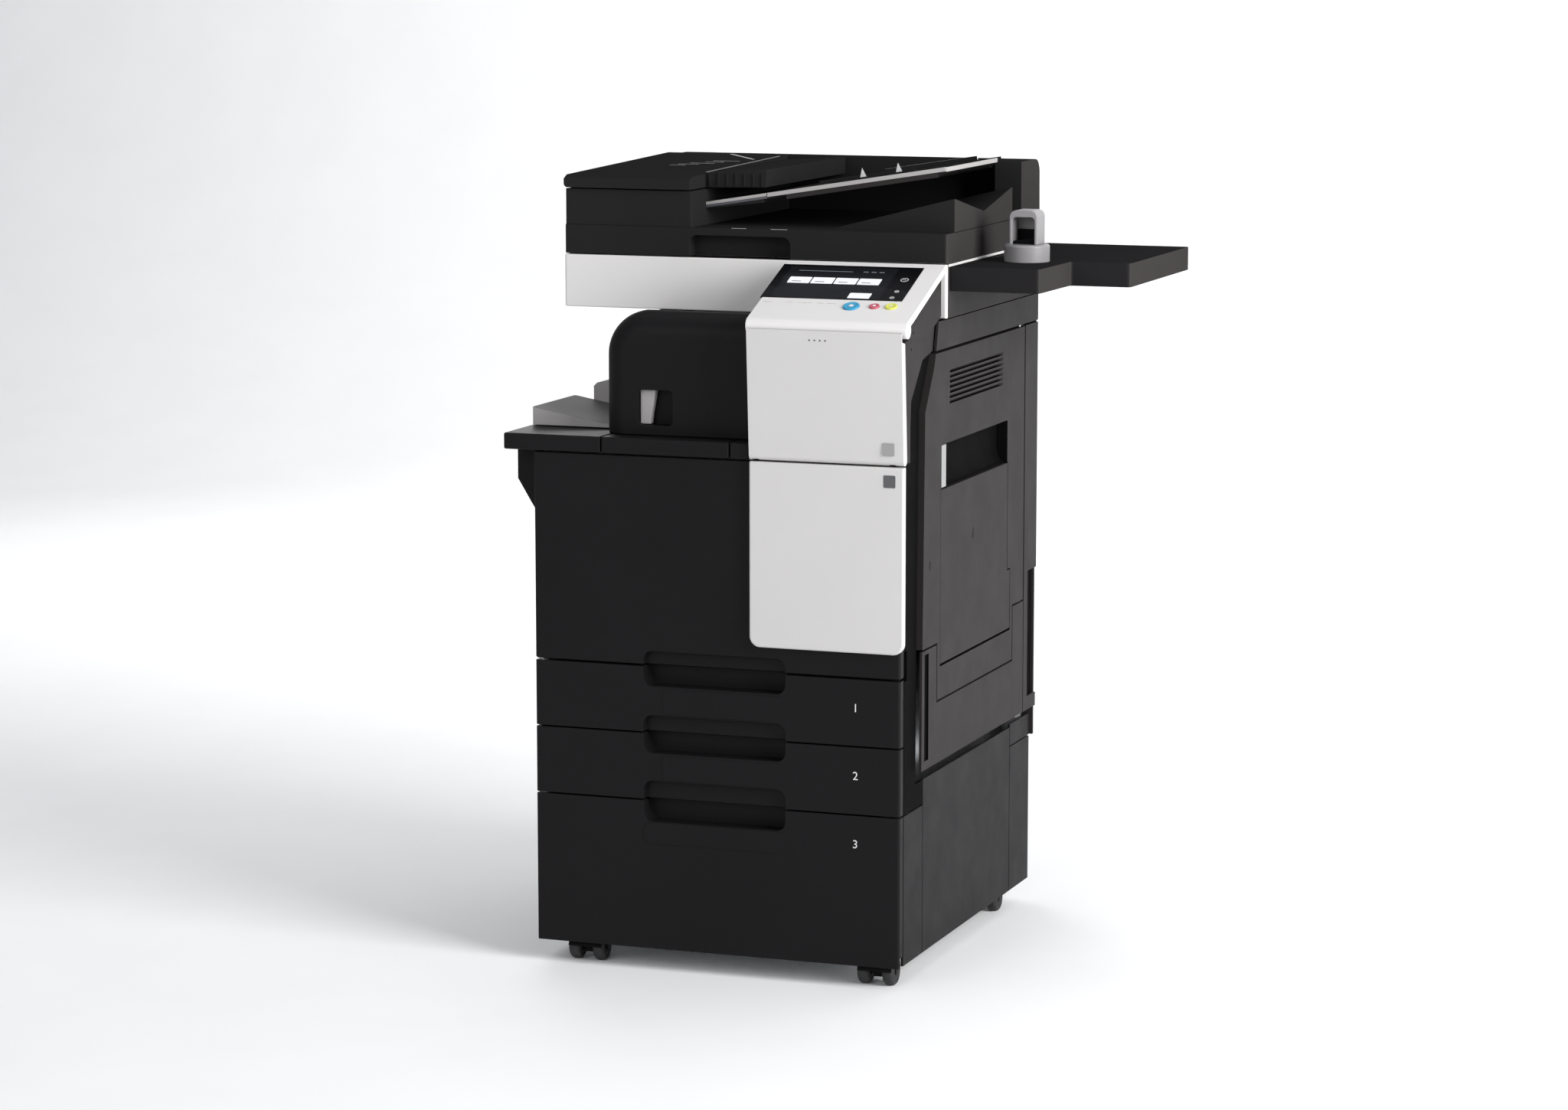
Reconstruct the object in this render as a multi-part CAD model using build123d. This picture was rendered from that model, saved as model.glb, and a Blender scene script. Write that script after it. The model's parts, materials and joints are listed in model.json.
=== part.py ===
from build123d import *
import math
import os

# A floor-standing A3 colour copier on a cabinet with casters. Millimetres.
# Working frame: x to the right from the middle of the drawer fronts, y back from
# their face, z up from the floor. Every node is moved at the end so that the
# origin is the middle of the footprint.

# ---- driving dimensions ----
half_width = 282.0
body_back = 650.0
right_face = 290.0
ledge_left = -327.0
table_right = 522.0
table_back = 670.0
door_front_top = -23.0

cabinet_bottom = 33.0
drawer_lines = {3: (33.0, 255.0), 2: (255.0, 355.0), 1: (355.0, 454.0)}
door_line = 454.0
ledge_bottom = 763.0
ledge_top = 787.0
scanner_bottom = 957.0
scanner_top = 1035.0
scanner_front = 176.0
scanner_left = -305.0
scanner_right = 292.5
seam = 1.25

caster_places = {
    "front_left": (-213.0, 47.0),
    "front_right": (239.0, 47.0),
    "back_left": (-213.0, 551.0),
    "back_right": (239.0, 551.0),
}
wheel_radius = 20.0
wheel_width = 17.0
wheel_offset = 19.0
caster_trail = 10.0
stem_radius = 5.5
running_gap = 0.05

panel_thickness = 16.0
pull_left = -112.0
pull_right = 108.0
pull_corner = 14.0
pull_depth = 30.0
pull_down = {1: 30.0, 2: 30.0, 3: 32.0}
pull_up = {1: 22.0, 2: 26.0, 3: 29.0}

white_left = 57.0
front_door_pin = (10.0, 472.0)
door_sweep = 31.0
upper_door_pin = (-4.0, 772.0)
panel_pin = (-8.0, 957.0)
panel_nose = 12.0
panel_left = 55.0
panel_right = 295.0
panel_body_right = 285.7
panel_lip = 10.5
panel_tilt = 21.06
right_door_pin = (282.0, 570.0)
bypass_pin = (284.5, 458.0)
adf_pin = (656.0, 1048.0)
adf_lid_pin = (-298.0, 1140.0)
document_tray_pin = (-6.0, 1123.5)
document_slope = 9.0
feed_front = 237.0
feed_back = 594.0
tray_lugs = (246.0, 578.0)
document_tray_right = 270.0
finisher_left = -186.0
finisher_top = 967.0

origin_x = (ledge_left + table_right) / 2
origin_y = (door_front_top + table_back) / 2


# ---- shapes shared by the pieces ----
def block(x0, x1, y0, y1, z0, z1):
    centre = Pos((x0 + x1) / 2, (y0 + y1) / 2, (z0 + z1) / 2)
    return centre * Box(x1 - x0, y1 - y0, z1 - z0)


def side_prism(outline, x0, x1):
    wire = Polyline(*[(x0, y, z) for y, z in outline], close=True)
    return extrude(make_face(wire), amount=x1 - x0, dir=(1, 0, 0))


def front_prism(outline, y0, y1):
    wire = Polyline(*[(x, y0, z) for x, z in outline], close=True)
    return extrude(make_face(wire), amount=y1 - y0, dir=(0, 1, 0))


def plan_prism(outline, z0, z1):
    wire = Polyline(*[(x, y, z0) for x, y in outline], close=True)
    return extrude(make_face(wire), amount=z1 - z0, dir=(0, 0, 1))


def rod_x(x0, x1, y, z, radius):
    return Pos((x0 + x1) / 2, y, z) * Rot(0, 90, 0) * Cylinder(radius, x1 - x0)


def rod_y(x, y0, y1, z, radius):
    return Pos(x, (y0 + y1) / 2, z) * Rot(90, 0, 0) * Cylinder(radius, y1 - y0)


def rod_z(x, y, z0, z1, radius):
    return Pos(x, y, (z0 + z1) / 2) * Cylinder(radius, z1 - z0)


def round_along(shape, axis, radius, keep=None):
    edges = shape.edges().filter_by(axis)
    if keep:
        edges = edges.filter_by(keep)
    return fillet(edges, radius)


def rounded_slot(x0, x1, y0, y1, z0, z1, radius):
    return round_along(block(x0, x1, y0, y1, z0, z1), Axis.Y, radius)


# ---- cabinet ----
def cabinet_frame():
    base = block(-277, 277, 22, 636, 44, 47)
    for x, y in caster_places.values():
        base += rod_z(x, y, 47, 62, 12)
    for x, y in caster_places.values():
        base -= rod_z(x, y, 40, 60, stem_radius + running_gap)
    walls = [
        block(-277, -274, 22, 636, 47, 247),
        block(274, 277, 22, 636, 47, 247),
        block(-274, 274, 633, 636, 47, 247),
        block(-277, 277, 37, 636, 247, 250),
    ]
    return [base] + walls


def cabinet_panels():
    pieces = []
    for side in (-1, 1):
        inner, outer = sorted((side * 278.0, side * half_width))
        pieces.append(block(inner, outer, 107, 537, cabinet_bottom, 292))
        pieces.append(block(inner, outer, 19, 106, cabinet_bottom, 253.5))
        pieces.append(block(inner, outer, 538, 640, cabinet_bottom, 261))
        pieces.append(block(inner, outer, 538, 640, 262.5, 297))
    pieces.append(block(-277.5, 277.5, 636.5, 640, cabinet_bottom, 249))
    return pieces


def drawer_rails():
    pieces = []
    for number, (low, high) in drawer_lines.items():
        height = low + 62 if number < 3 else low + 120
        right = 241.0 if number < 3 else 274.0
        wall = -275.0 if number < 3 else -274.0
        pieces.append(block(wall, -263.5, 40, 600, height - 4, height - 0.3))
        pieces.append(block(right - 11.5, right, 40, 600, height - 4, height - 0.3))
    return pieces


def caster_fork(x, y):
    axle_y = y - caster_trail
    fork = rod_z(x, y, 26, 43.5, 9.5)
    fork += block(x - 6, x + 6, axle_y - 5, y, 12, 30)
    fork += rod_z(x, y, 43, 58, stem_radius)
    fork += rod_x(x - 27, x + 27, axle_y, wheel_radius, 4)
    return fork


def caster_wheels(x, y):
    wheels = []
    for side in (-1, 1):
        middle = x + side * wheel_offset
        low = middle - wheel_width / 2
        wheel = rod_x(low, low + wheel_width, y - caster_trail, wheel_radius, wheel_radius)
        wheel = fillet(wheel.edges(), 4.5)
        wheel -= rod_x(low - 1, low + wheel_width + 1, y - caster_trail, wheel_radius, 4 + running_gap)
        wheels.append(wheel)
    return wheels


# ---- drawers ----
def drawer_front(number):
    low, high = drawer_lines[number]
    face = block(-half_width, half_width, 0, panel_thickness, low + seam, high - seam)
    if number == 3:
        face = block(-half_width, half_width, 0, panel_thickness, low, high - seam)
        face -= block(-half_width - 1, half_width + 1, 5, panel_thickness + 1, low - 1, 48)
    face = round_along(face, Axis.Z, 4, lambda edge: edge.center().Y < 1)
    cup_low = high - pull_down[number]
    face += block(pull_left - 4, pull_right + 4, panel_thickness, 34, cup_low - 4, high - seam - 1)
    face -= rounded_slot(pull_left, pull_right, -1, pull_depth, cup_low, high + 60, pull_corner)
    if number < 3:
        top = low + pull_up[number + 1]
        face -= rounded_slot(pull_left, pull_right, -1, 13, low - 60, top, pull_corner)
    return face


def tray_limits(number):
    low, high = drawer_lines[number]
    if number == 3:
        return -262.0, 262.0, 600.0, 66.0, 236.0
    return -262.0, 228.0, 570.0, low + 6, low + 92


def drawer_tray(number):
    x0, x1, y1, z0, z1 = tray_limits(number)
    tray = block(x0, x1, 34, y1, z0, z1)
    tray -= block(x0 + 2, x1 - 2, 36, y1 - 2, z0 + 2, z1 + 1)
    height = drawer_lines[number][0] + (62 if number < 3 else 120)
    tray += block(x0 - 6, x0, 40, y1 - 10, height, height + 8)
    tray += block(x1, x1 + 6, 40, y1 - 10, height, height + 8)
    if number < 3:
        for y in (44, y1 - 12):
            tray += block(-130, -114, y, y + 4, z0 + 2, z0 + 14)
            tray -= rod_y(-122, y - 1, y + 5, z0 + 8, 3 + running_gap)
    return tray


def lift_plate(number):
    x0, x1, y1, z0, z1 = tray_limits(number)
    if number == 3:
        return block(x0 + 12, x1 - 12, 60, y1 - 20, z0 + 6, z0 + 8)
    plate = block(-122, x1 - 8, 50, y1 - 14, z0 + 7, z0 + 8.5)
    for low, high in ((49, 235), (371, y1)):
        plate -= block(-66, 28, low, high, z0, z0 + 20)
    plate += rod_y(-122, 43, y1 - 7, z0 + 8, 3)
    return plate


def side_guide(number, front):
    x0, x1, y1, z0, z1 = tray_limits(number)
    face = 152.0 if front else 452.0
    away = -1 if front else 1
    ys = sorted((face, face + away * 3))
    foot = sorted((face, face + away * 45))
    guide = block(-58, 20, ys[0], ys[1], z0 + 2.3, z0 + 78)
    guide += block(-58, 20, foot[0], foot[1], z0 + 2.3, z0 + 5.3)
    for x in (-50, 8):
        guide += side_prism(
            [(face, z0 + 3), (face + away * 40, z0 + 3), (face, z0 + 60)], x, x + 4
        )
    return guide


# ---- body ----
def body_frame():
    pieces = [
        block(-277, 277, 37, 640, 250, 253),
        block(-278, -275, 30, 640, 253, 760),
        block(-278, -275, 520, 640, 763, 957),
        block(-275, 277, 608, 611, 253, 760),
        block(-275, 277, 608, 611, 763, 957),
        block(241, 244, 34, 608, 253, 455.5),
        block(-275, 244, 36, 608, 455.5, 458.5),
        block(-278, 54, 20, 640, 760, 763),
        block(57, 246, 30, 640, 760, 763),
        block(246, 276, 30, 76, 760, 763),
        block(54, 57, 24, 608, 763, 955),
        block(270, 276, 38, 72, 253, 955),
        block(262, 276, 585, 608, 253, 760),
        block(262, 276, 585, 608, 763, 955),
        block(57, 270, 180, 608, 952, 955),
    ]
    left_post = block(-275, -258, 34, 37, 458.5, 760)
    right_post = block(225, 276, 34, 37, 458.5, 760)
    y, z = front_door_pin
    left_post += hinge_lug(-277, -269, y, z, 34, 6)
    right_post += hinge_lug(268.5, 276, y, z, 34, 6)
    for x in (-278, 268):
        bore = rod_x(x, x + 10, y, z, 3 + running_gap)
        left_post -= bore
        right_post -= bore
    door_bar = block(57, 276, 24, 30, 763, 779)
    panel_bar = block(57, 276, 24, 30, 936, 943)
    for x in (62, 268):
        y, z = upper_door_pin
        door_bar += hinge_lug(x, x + 8, y, z, 24, 4.4)
        door_bar -= rod_x(x - 1, x + 9, y, z, 2 + running_gap)
        y, z = panel_pin
        panel_bar += rod_x(x, x + 8, y, z, 5)
        panel_bar += side_prism(
            [(y - 4, z - 2), (-2, 936), (24, 936), (24, 943), (3, 943), (y + 4.5, z - 1)], x, x + 8
        )
        panel_bar -= rod_x(x - 1, x + 9, y, z, 2.5 + running_gap)
    return pieces + [left_post, right_post, door_bar, panel_bar]


def hinge_lug(x0, x1, y, z, back, radius):
    return rod_x(x0, x1, y, z, radius) + block(x0, x1, y, back, z - radius * 0.8, z + radius * 0.8)


def rear_cover():
    cover = block(-half_width, 286, 645, body_back, 262.5, 956)
    for row in range(8):
        z = 560 + row * 14
        cover -= block(-200, -60, 644, body_back + 1, z, z + 6)
        cover -= block(40, 180, 644, body_back + 1, z + 180, z + 186)
    for x, z in screw_places():
        cover -= rod_y(x, 640, 651, z, 2.1)
    return cover


def screw_places():
    return [(x, z) for x in (-270.0, 0.0, 270.0) for z in (275.0, 520.0, 760.0, 940.0)]


def cover_screws():
    screws = []
    for x, z in screw_places():
        head = fillet(rod_y(x, body_back, body_back + 2.2, z, 4).edges().sort_by(Axis.Y)[-1], 1)
        screws.append(head + rod_y(x, 642, body_back, z, 2))
    return screws


def left_cover():
    lower = block(-half_width, -278, 19, 645, 298.5, 762)
    lower += block(-half_width, -278, 19, 537, 293.5, 299)
    lower -= block(-half_width - 1, -277, 18, door_sweep, 450, 494)
    column = block(-half_width, -278, 518, 645, 763.2, 956)
    return [lower, column]


def right_covers():
    pillar = side_prism(
        [(19, 256), (106, 256), (106, 291), (72, 291), (73, 540), (81, 832), (126, 905), (128, 953), (19, 948)],
        276, half_width,
    )
    pillar -= block(275, half_width + 1, 18, door_sweep, 450, 494)
    panel_side = side_prism(
        [(6, 765), (30, 765), (30, 814), (33, 852), (84, 906), (130, 915), (140, 955), (128, 986), (6, 946)],
        half_width, 286,
    )
    panel_side += side_prism([(6, 940), (6, 963.2), (160, 1022.4), (160, 962), (100, 940)], 286, 289)
    lower = side_prism(
        [(75, 309), (577, 309), (577, 484), (521, 484), (521, 399), (144, 399), (144, 484), (77, 484)],
        286, right_face,
    )
    lower -= block(287, right_face + 1, 88, 107, 322, 478)
    rear = side_prism(
        [(580, 309), (645, 309), (645, 330), (600, 330), (600, 528), (645, 528), (645, 911), (580, 911)],
        286, right_face,
    )
    upper = side_prism([(136, 914), (645, 914), (645, 955), (146, 955)], 286, right_face)
    recess_back = block(278, half_width, 590, 644.5, 320, 540)
    return [pillar, panel_side, lower, rear, upper, recess_back]


def exit_ledge():
    pieces = []
    for x0, x1, back in ((ledge_left, -175.5, 500), (-173.5, 23.5, 500), (25.5, 54, 500)):
        part = block(x0, x1, -6, back, ledge_bottom, ledge_top)
        part = round_along(part, Axis.X, 3, lambda edge: edge.center().Y < 0)
        pieces.append(part)
    bracket = front_prism([(-326, 762.8), (-326, 714), (-304, 678), (-282.2, 645), (-282.2, 762.8)], 42, 380)
    return pieces + [bracket]


def front_door():
    door = block(-half_width, half_width, 0, panel_thickness, door_line + seam, 760)
    door = round_along(door, Axis.Z, 4, lambda edge: edge.center().Y < 1)
    bottom = door.edges().filter_by(Axis.X).filter_by(
        lambda edge: edge.center().Z < door_line + 6 and edge.center().Y < 1
    )
    door = fillet(bottom, 3.5)
    top = door_line + pull_up[1]
    door -= rounded_slot(pull_left, pull_right, -1, 13, door_line - 60, top, pull_corner)
    y, z = front_door_pin
    for x in (-278.5, 267.5):
        door -= block(x, x + 11, 3.5, panel_thickness + 1, door_line, z + 8)
        door += rod_x(x - 1.5, x + 12.5, y, z, 3)
    return door


def front_door_trim():
    trim = rounded_slot(white_left, 290, -12, 0, 493, 780, 16)
    trim -= block(white_left - 1, 291, -13, 1, 762, 781)
    face_edges = trim.edges().filter_by(lambda edge: edge.center().Y < -11.9)
    return fillet(face_edges, 3)


def upper_front_door():
    y, z = upper_door_pin
    outline = [(-12, z), (door_front_top, 953.5), (-20.6, 953.5), (-20, 941), (-7, 938), (4, z)]
    door = side_prism(outline, white_left, 290) + rod_x(white_left, 290, y, z, 8)
    for x in (61, 267):
        door -= block(x, x + 10, -9.2, 6, z - 10, z + 12)
        door += rod_x(x - 1.5, x + 11.5, y, z, 2)
    door -= block(white_left + 8, 282, -8.5, 5, 790, 930)
    return door


# ---- operation panel ----
def panel_plane():
    angle = math.radians(panel_tilt)
    y = panel_pin[0] - panel_nose * math.sin(angle)
    z = panel_pin[1] + panel_nose * math.cos(angle)
    return Plane(origin=(0, y, z), x_dir=(1, 0, 0), z_dir=(0, -math.sin(angle), math.cos(angle)))


def on_panel(shape, x, along, height):
    return panel_plane() * Pos(x, along, height) * shape


key_places = {"start": (197.0, 45.0, 12.0), "stop": (231.0, 47.0, 7.5), "reset": (256.0, 48.0, 9.0)}
glass_width = 214.0
glass_length = 109.0
glass_middle = (159.0, 121.0)


def panel_case():
    y, z = panel_pin
    slope = math.tan(math.radians(panel_tilt))
    start = panel_plane().origin
    rear_top = start.Z + (160 - start.Y) * slope
    outline = [(start.Y, start.Z), (160, rear_top), (163, rear_top - 28), (y + 5, z - 10.9)]
    lip = [(start.Y, start.Z), (160, rear_top), (160, rear_top - panel_lip), (start.Y + 4, start.Z - panel_lip)]
    case = side_prism(outline, panel_left, panel_body_right) + side_prism(lip, panel_body_right, panel_right)
    case += rod_x(panel_left, panel_right, y, z, panel_nose)
    case -= on_panel(Box(glass_width, glass_length, 4), *glass_middle, 0)
    for x, along, radius in key_places.values():
        case -= on_panel(Cylinder(radius + 0.3, 14), x, along, 0)
    for x in (61, 267):
        case -= rod_x(x, x + 10, y, z, 9)
        case -= block(x, x + 10, y - 6.5, y + 22, z - 16, z)
        case += rod_x(x - 2, x + 12, y, z, 2.5)
    return case


def touch_glass():
    return on_panel(Box(glass_width, glass_length, 2.6), *glass_middle, -0.7)


def panel_key(name):
    x, along, radius = key_places[name]
    key = on_panel(Cylinder(radius, 6.5), x, along, -0.75)
    return key


# ---- right side door and bypass tray ----
def right_door():
    outline = [
        (78, 487), (79, 542), (86, 830), (127, 892), (134, 910), (577, 910), (577, 487),
        (518, 487), (518, 402), (147, 402), (147, 487),
    ]
    door = side_prism(outline, 269, right_face)
    door = round_along(door, Axis.Z, 3, lambda edge: edge.center().X > 289 and edge.center().Y > 570)
    door += block(248, 269, 120, 540, 500, 880)
    door -= block(272, 291, 159.5, 506.5, 450, 546)
    door -= block(272, 291, 159.5, 491.5, 545, 711)
    door -= block(272, 291, 163, 488, 710, 775)
    for row in range(7):
        z = 831.5 + row * 7.5
        door -= block(280, 291, 200, 462, z, z + 4)
    x, z = bypass_pin
    for y in (150.5, 506):
        door -= rod_y(x, y, y + 9.5, z, 2.5 + running_gap)
    x, y = right_door_pin
    for z in (486, 894):
        door -= rod_z(x, y, z, z + 17, 3 + running_gap)
    return door


def bypass_tray():
    outline = [(160.5, 452), (505.5, 452), (505.5, 544), (490.5, 544), (490.5, 709.5), (160.5, 709.5)]
    tray = side_prism(outline, 279, right_face)
    tray = round_along(tray, Axis.Y, 3.5, lambda edge: edge.center().Z < 453)
    x, z = bypass_pin
    tray += rod_y(x, 151, 161, z, 2.5)
    tray += rod_y(x, 505, 515, z, 2.5)
    return tray


def door_pins():
    x, y = right_door_pin
    low = block(270, 286, 562, 577, 478, 484.5)
    low += rod_z(x, y, 484, 501, 3)
    high = block(270, 286, 562, 577, 914.2, 921)
    high += rod_z(x, y, 896, 915, 3)
    return [low, high]


# ---- scanner ----
platen = (-213.0, 237.0, 235.0, 545.0)
slit = (-262.0, -238.0, 235.0, 545.0)


def scanner_housing():
    left, right = scanner_left, scanner_right
    shell = block(left, right, 182, body_back, scanner_bottom, scanner_top)
    shell -= block(left + 3, right - 3, 185, body_back - 3, scanner_bottom + 3, scanner_top - 4)
    for x0, x1, y0, y1 in (platen, slit):
        shell -= block(x0, x1, y0, y1, scanner_top - 5, scanner_top + 1)
    shell = round_along(shell, Axis.Z, 6, lambda edge: edge.center().Y > 649)
    rods = [rod_x(left + 3, right - 3, y, 990, 4) for y in (215, 570)]
    return [shell] + rods


def scanner_front_cover():
    cover = block(scanner_left, scanner_right, scanner_front, 182, scanner_bottom, scanner_top)
    return round_along(cover, Axis.Z, 4, lambda edge: edge.center().Y < 177)


def platen_glass():
    panes = []
    for x0, x1, y0, y1 in (platen, slit):
        panes.append(block(x0, x1, y0, y1, scanner_top - 4, scanner_top))
    return panes


def scan_carriage():
    carriage = block(-268, -232, 205, 580, 978, 1002)
    carriage += block(-262, -238, 240, 540, 1002, 1024)
    for y in (215, 570):
        carriage -= rod_x(-270, -230, y, 990, 4 + running_gap)
    carriage -= block(-254, -246, 245, 535, 1010, 1025)
    return carriage


def adf_hinge_brackets():
    y, z = adf_pin
    brackets = []
    for x in (-240, 190):
        bracket = block(x, x + 50, body_back, 664, 1000, 1030)
        for ear in (x, x + 42):
            bracket += block(ear, ear + 8, body_back, 664, 1030, z)
            bracket += rod_x(ear, ear + 8, y, z, 8)
        bracket += rod_x(x + 4, x + 46, y, z, 4)
        brackets.append(bracket)
    return brackets


# ---- document feeder ----
def adf_base():
    y, z = adf_pin
    base = block(-304, 292, scanner_front, 644, 1036.5, 1079)
    base = round_along(base, Axis.Z, 4)
    base -= rounded_slot(-106, 52, scanner_front - 1, 200, 1000, 1068, 12)
    base -= block(-230, 250, 225, 555, 1036, 1040)
    for x in (-240, 190):
        arm = block(x + 9, x + 41, 640, y, z - 6, z + 6) + rod_x(x + 9, x + 41, y, z, 8)
        base += arm - rod_x(x + 8, x + 42, y, z, 4 + running_gap)
    pad = block(-228, 248, 227, 553, 1036.5, 1040)
    case = block(-303.5, -102.5, scanner_front + 2, 600, 1079, 1132)
    case = round_along(case, Axis.Z, 3, lambda edge: edge.center().Y < 200)
    case -= block(-262, -162, 190, 590, 1086, 1133)
    x, z = adf_lid_pin
    for lug in (220, 560):
        case += rod_y(x, lug, lug + 10, z, 5.4) + block(x - 3, x + 4, lug, lug + 10, 1131, z)
        case -= rod_y(x, lug - 1, lug + 11, z, 2.5 + running_gap)
    for end in (186, 590):
        case -= rod_y(-212, end, end + 4, 1112, 4 + running_gap)
    x, z = document_tray_pin
    table = front_prism(
        [(-102.5, 1103), (x - 7, z - 10), (x - 7, z + 3.5), (-102.5, 1113)], feed_front, feed_back
    )
    for lug in tray_lugs:
        table += rod_y(x, lug, lug + 6, z, 5) + block(x - 8, x, lug, lug + 6, z - 5, z + 3)
        table += rod_y(x, lug - 7, lug + 13, z, 2.5)
    rear = block(-281, 250, 600, 640, 1079, 1163)
    corner = block(250, 292, 543, 640, 1079, 1163)
    corner = round_along(corner, Axis.X, 22, lambda edge: edge.center().Y > 639 and edge.center().Z > 1162)
    rear = round_along(rear, Axis.X, 22, lambda edge: edge.center().Y > 639 and edge.center().Z > 1162)
    stop = front_prism([(100, 1079), (292, 1079), (292, 1127), (288, 1127)], 212, 497)
    stop -= side_prism([(212, 1128), (354, 1101), (497, 1128)], 99, 293)
    return [base, pad, case, table, rear, corner, stop]


def adf_lid():
    x, z = adf_lid_pin
    lid = side_prism([(172, 1134), (172, 1147), (184, 1152.5), (598, 1163), (598, 1134)], x, -104)
    side = side_prism([(172, z), (172, 1147), (184, 1152.5), (598, 1163), (598, z)], -304, x)
    lid += side + rod_y(x, 172, 598, z, 6)
    for lug in (219, 559):
        lid -= block(-305, x + 8, lug, lug + 12, z - 8, z + 7)
        lid += rod_y(x, lug - 2, lug + 14, z, 2.5)
    mouth = front_prism([(-104, 1134), (-9, 1136), (-8, 1162), (-104, 1156)], feed_front + 2, 596)
    return lid + mouth


def feed_roller():
    roller = rod_y(-212, 186.5, 593.5, 1112, 4)
    for y in (250, 380, 500):
        roller += rod_y(-212, y, y + 36, 1112, 14)
    return roller


def document_tray():
    x, z = document_tray_pin
    rise = math.tan(math.radians(document_slope))
    right = document_tray_right
    top = z + 4.5
    right_top = top + (right - x) * rise
    outline = [
        (x + 3, top), (right, right_top), (right, right_top - 7), (right - 14, right_top - 16),
        (30, top + (30 - x) * rise - 13), (20, top + (20 - x) * rise - 8), (x + 3, top - 9),
    ]
    tray = front_prism(outline, feed_front + 2.5, feed_back)
    tray -= block(244, right + 1, 489, feed_back + 1, 1080, 1220)
    tray += rod_y(x, feed_front + 2.5, feed_back, z, 5)
    for lug in tray_lugs:
        tray -= block(x - 8, x + 7, lug - 0.5, lug + 6.5, z - 9, z + 9)
        tray -= rod_y(x, lug - 8, lug + 14, z, 2.5 + running_gap)
    return tray


def document_guide(front):
    x, z = document_tray_pin
    angle = math.radians(document_slope)
    place = Plane(origin=(x, 0, z + 4.8), x_dir=(math.cos(angle), 0, math.sin(angle)),
                  z_dir=(-math.sin(angle), 0, math.cos(angle)))
    y = 262.0 if front else 564.0
    away = 10.0 if front else -10.0
    guide = place * Pos(150, y, 3) * Box(150, 4, 6)
    guide += place * Pos(150, y + away / 2, 1) * Box(60, abs(away) + 4, 2)
    if front:
        for along in (144, 200):
            peak = Polyline((along - 5, 2.5), (along + 5, 2.5), (along, 16), close=True)
            peak = extrude(Plane.XZ * make_face(peak), amount=2.3, both=True)
            guide += place * Pos(0, y, 0) * peak
    return guide


# ---- finisher, table and reader ----
def finisher_housing():
    left = finisher_left
    shell = block(left, 53, 29, 440, ledge_top + 1.5, finisher_top)
    corner = shell.edges().filter_by(Axis.Y).filter_by(
        lambda edge: edge.center().X < left + 1 and edge.center().Z > finisher_top - 1
    )
    shell = fillet(corner, 65)
    front = shell.edges().filter_by(lambda edge: edge.center().Y < 29.1 and edge.center().Z > 880)
    shell = fillet(front, 34)
    shell -= side_prism([(63, finisher_top + 0.5), (173, 955.5), (441, 955.5), (441, 990), (63, 990)], left - 1, 54)
    shell -= block(left + 4, 49, 60, 436, ledge_top, 905)
    shell -= rounded_slot(-130, -76, 28, 52, 802, 854, 7)
    plate = block(left + 4, 49, 60, 436, ledge_top + 1.5, ledge_top + 4.5)
    return [shell, plate]


def output_tray():
    right = finisher_left - 0.5
    low = ledge_top + 1.5
    tray = front_prism([(-322, low), (right, low), (right, 791), (-322, 815)], 88, 254)
    tray = round_along(tray, Axis.Z, 5, lambda edge: edge.center().X < -320)
    rest_outline = [(-291, low), (right, low), (right, 842), (-272, 838), (-286, 835), (-291, 830)]
    rest = front_prism(rest_outline, 253, 400)
    return tray + rest


def working_table():
    outline = [
        (293, 190), (427, 190), (431, 335), (table_right, 335), (table_right, table_back), (293, table_back),
    ]
    table = plan_prism(outline, 996, 1031)
    table = round_along(table, Axis.Z, 6, lambda edge: edge.center().X > 420)
    table -= block(300, 515, 372, 663, 1030.4, 1032)
    return table


def finger_reader():
    x, y, z = 369.0, 320.0, 1031.0
    radius = 33.5
    half = 21.0
    inside = half - 4
    base = fillet(rod_z(x, y, z, z + 26, radius).edges().sort_by(Axis.Z)[-1], 4)
    hood = block(x - half, x + half, y - half, y + half, z + 26, z + 76)
    hood = round_along(hood, Axis.Y, 10, lambda edge: edge.center().Z > z + 70)
    hood -= rounded_slot(x - inside, x + inside, y - half - 1, y + 14, z + 19, z + 66, 6)
    sensor_outline = [(x - inside, z + 26), (x + inside, z + 26), (x + inside, z + 36), (x - inside, z + 31)]
    sensor = front_prism(sensor_outline, y - 16, y + 13)
    return [base, hood, sensor]


# ---- inside ----
def toner_cartridges():
    cartridge_left, cartridge_pitch, cartridge_width = 60, 46, 42
    pieces = []
    for index in range(4):
        x = cartridge_left + index * cartridge_pitch
        cartridge = block(x, x + cartridge_width, 32, 330, 800, 910)
        cartridge = round_along(cartridge, Axis.Y, 10)
        pieces.append(cartridge)
    return pieces


def drum_units():
    pieces = []
    for index in range(4):
        x = -256 + index * 84
        unit = block(x, x + 72, 60, 440, 458.5, 536)
        unit += rod_y(x + 36, 46, 452, 524, 15)
        pieces.append(unit)
    return pieces


def transfer_belt():
    belt = block(-232, 66, 60, 440, 541, 589)
    return belt + rod_y(-232, 60, 440, 565, 24) + rod_y(66, 60, 440, 565, 24)


def fuser_unit():
    case = block(120, 222, 60, 440, 640, 740)
    case -= block(196, 223, 70, 430, 655, 725)
    rollers = [rod_y(207, 70, 430, z, 13) for z in (675, 702.5)]
    return [case] + rollers


def power_inlet():
    body = block(-250, -196, body_back, 655, 300, 340)
    body -= block(-241, -205, 652, 656, 306, 334)
    for x in (-232, -223, -214):
        body += block(x - 1, x + 1, 651.5, 654.6, 316, 324)
    return body


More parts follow.
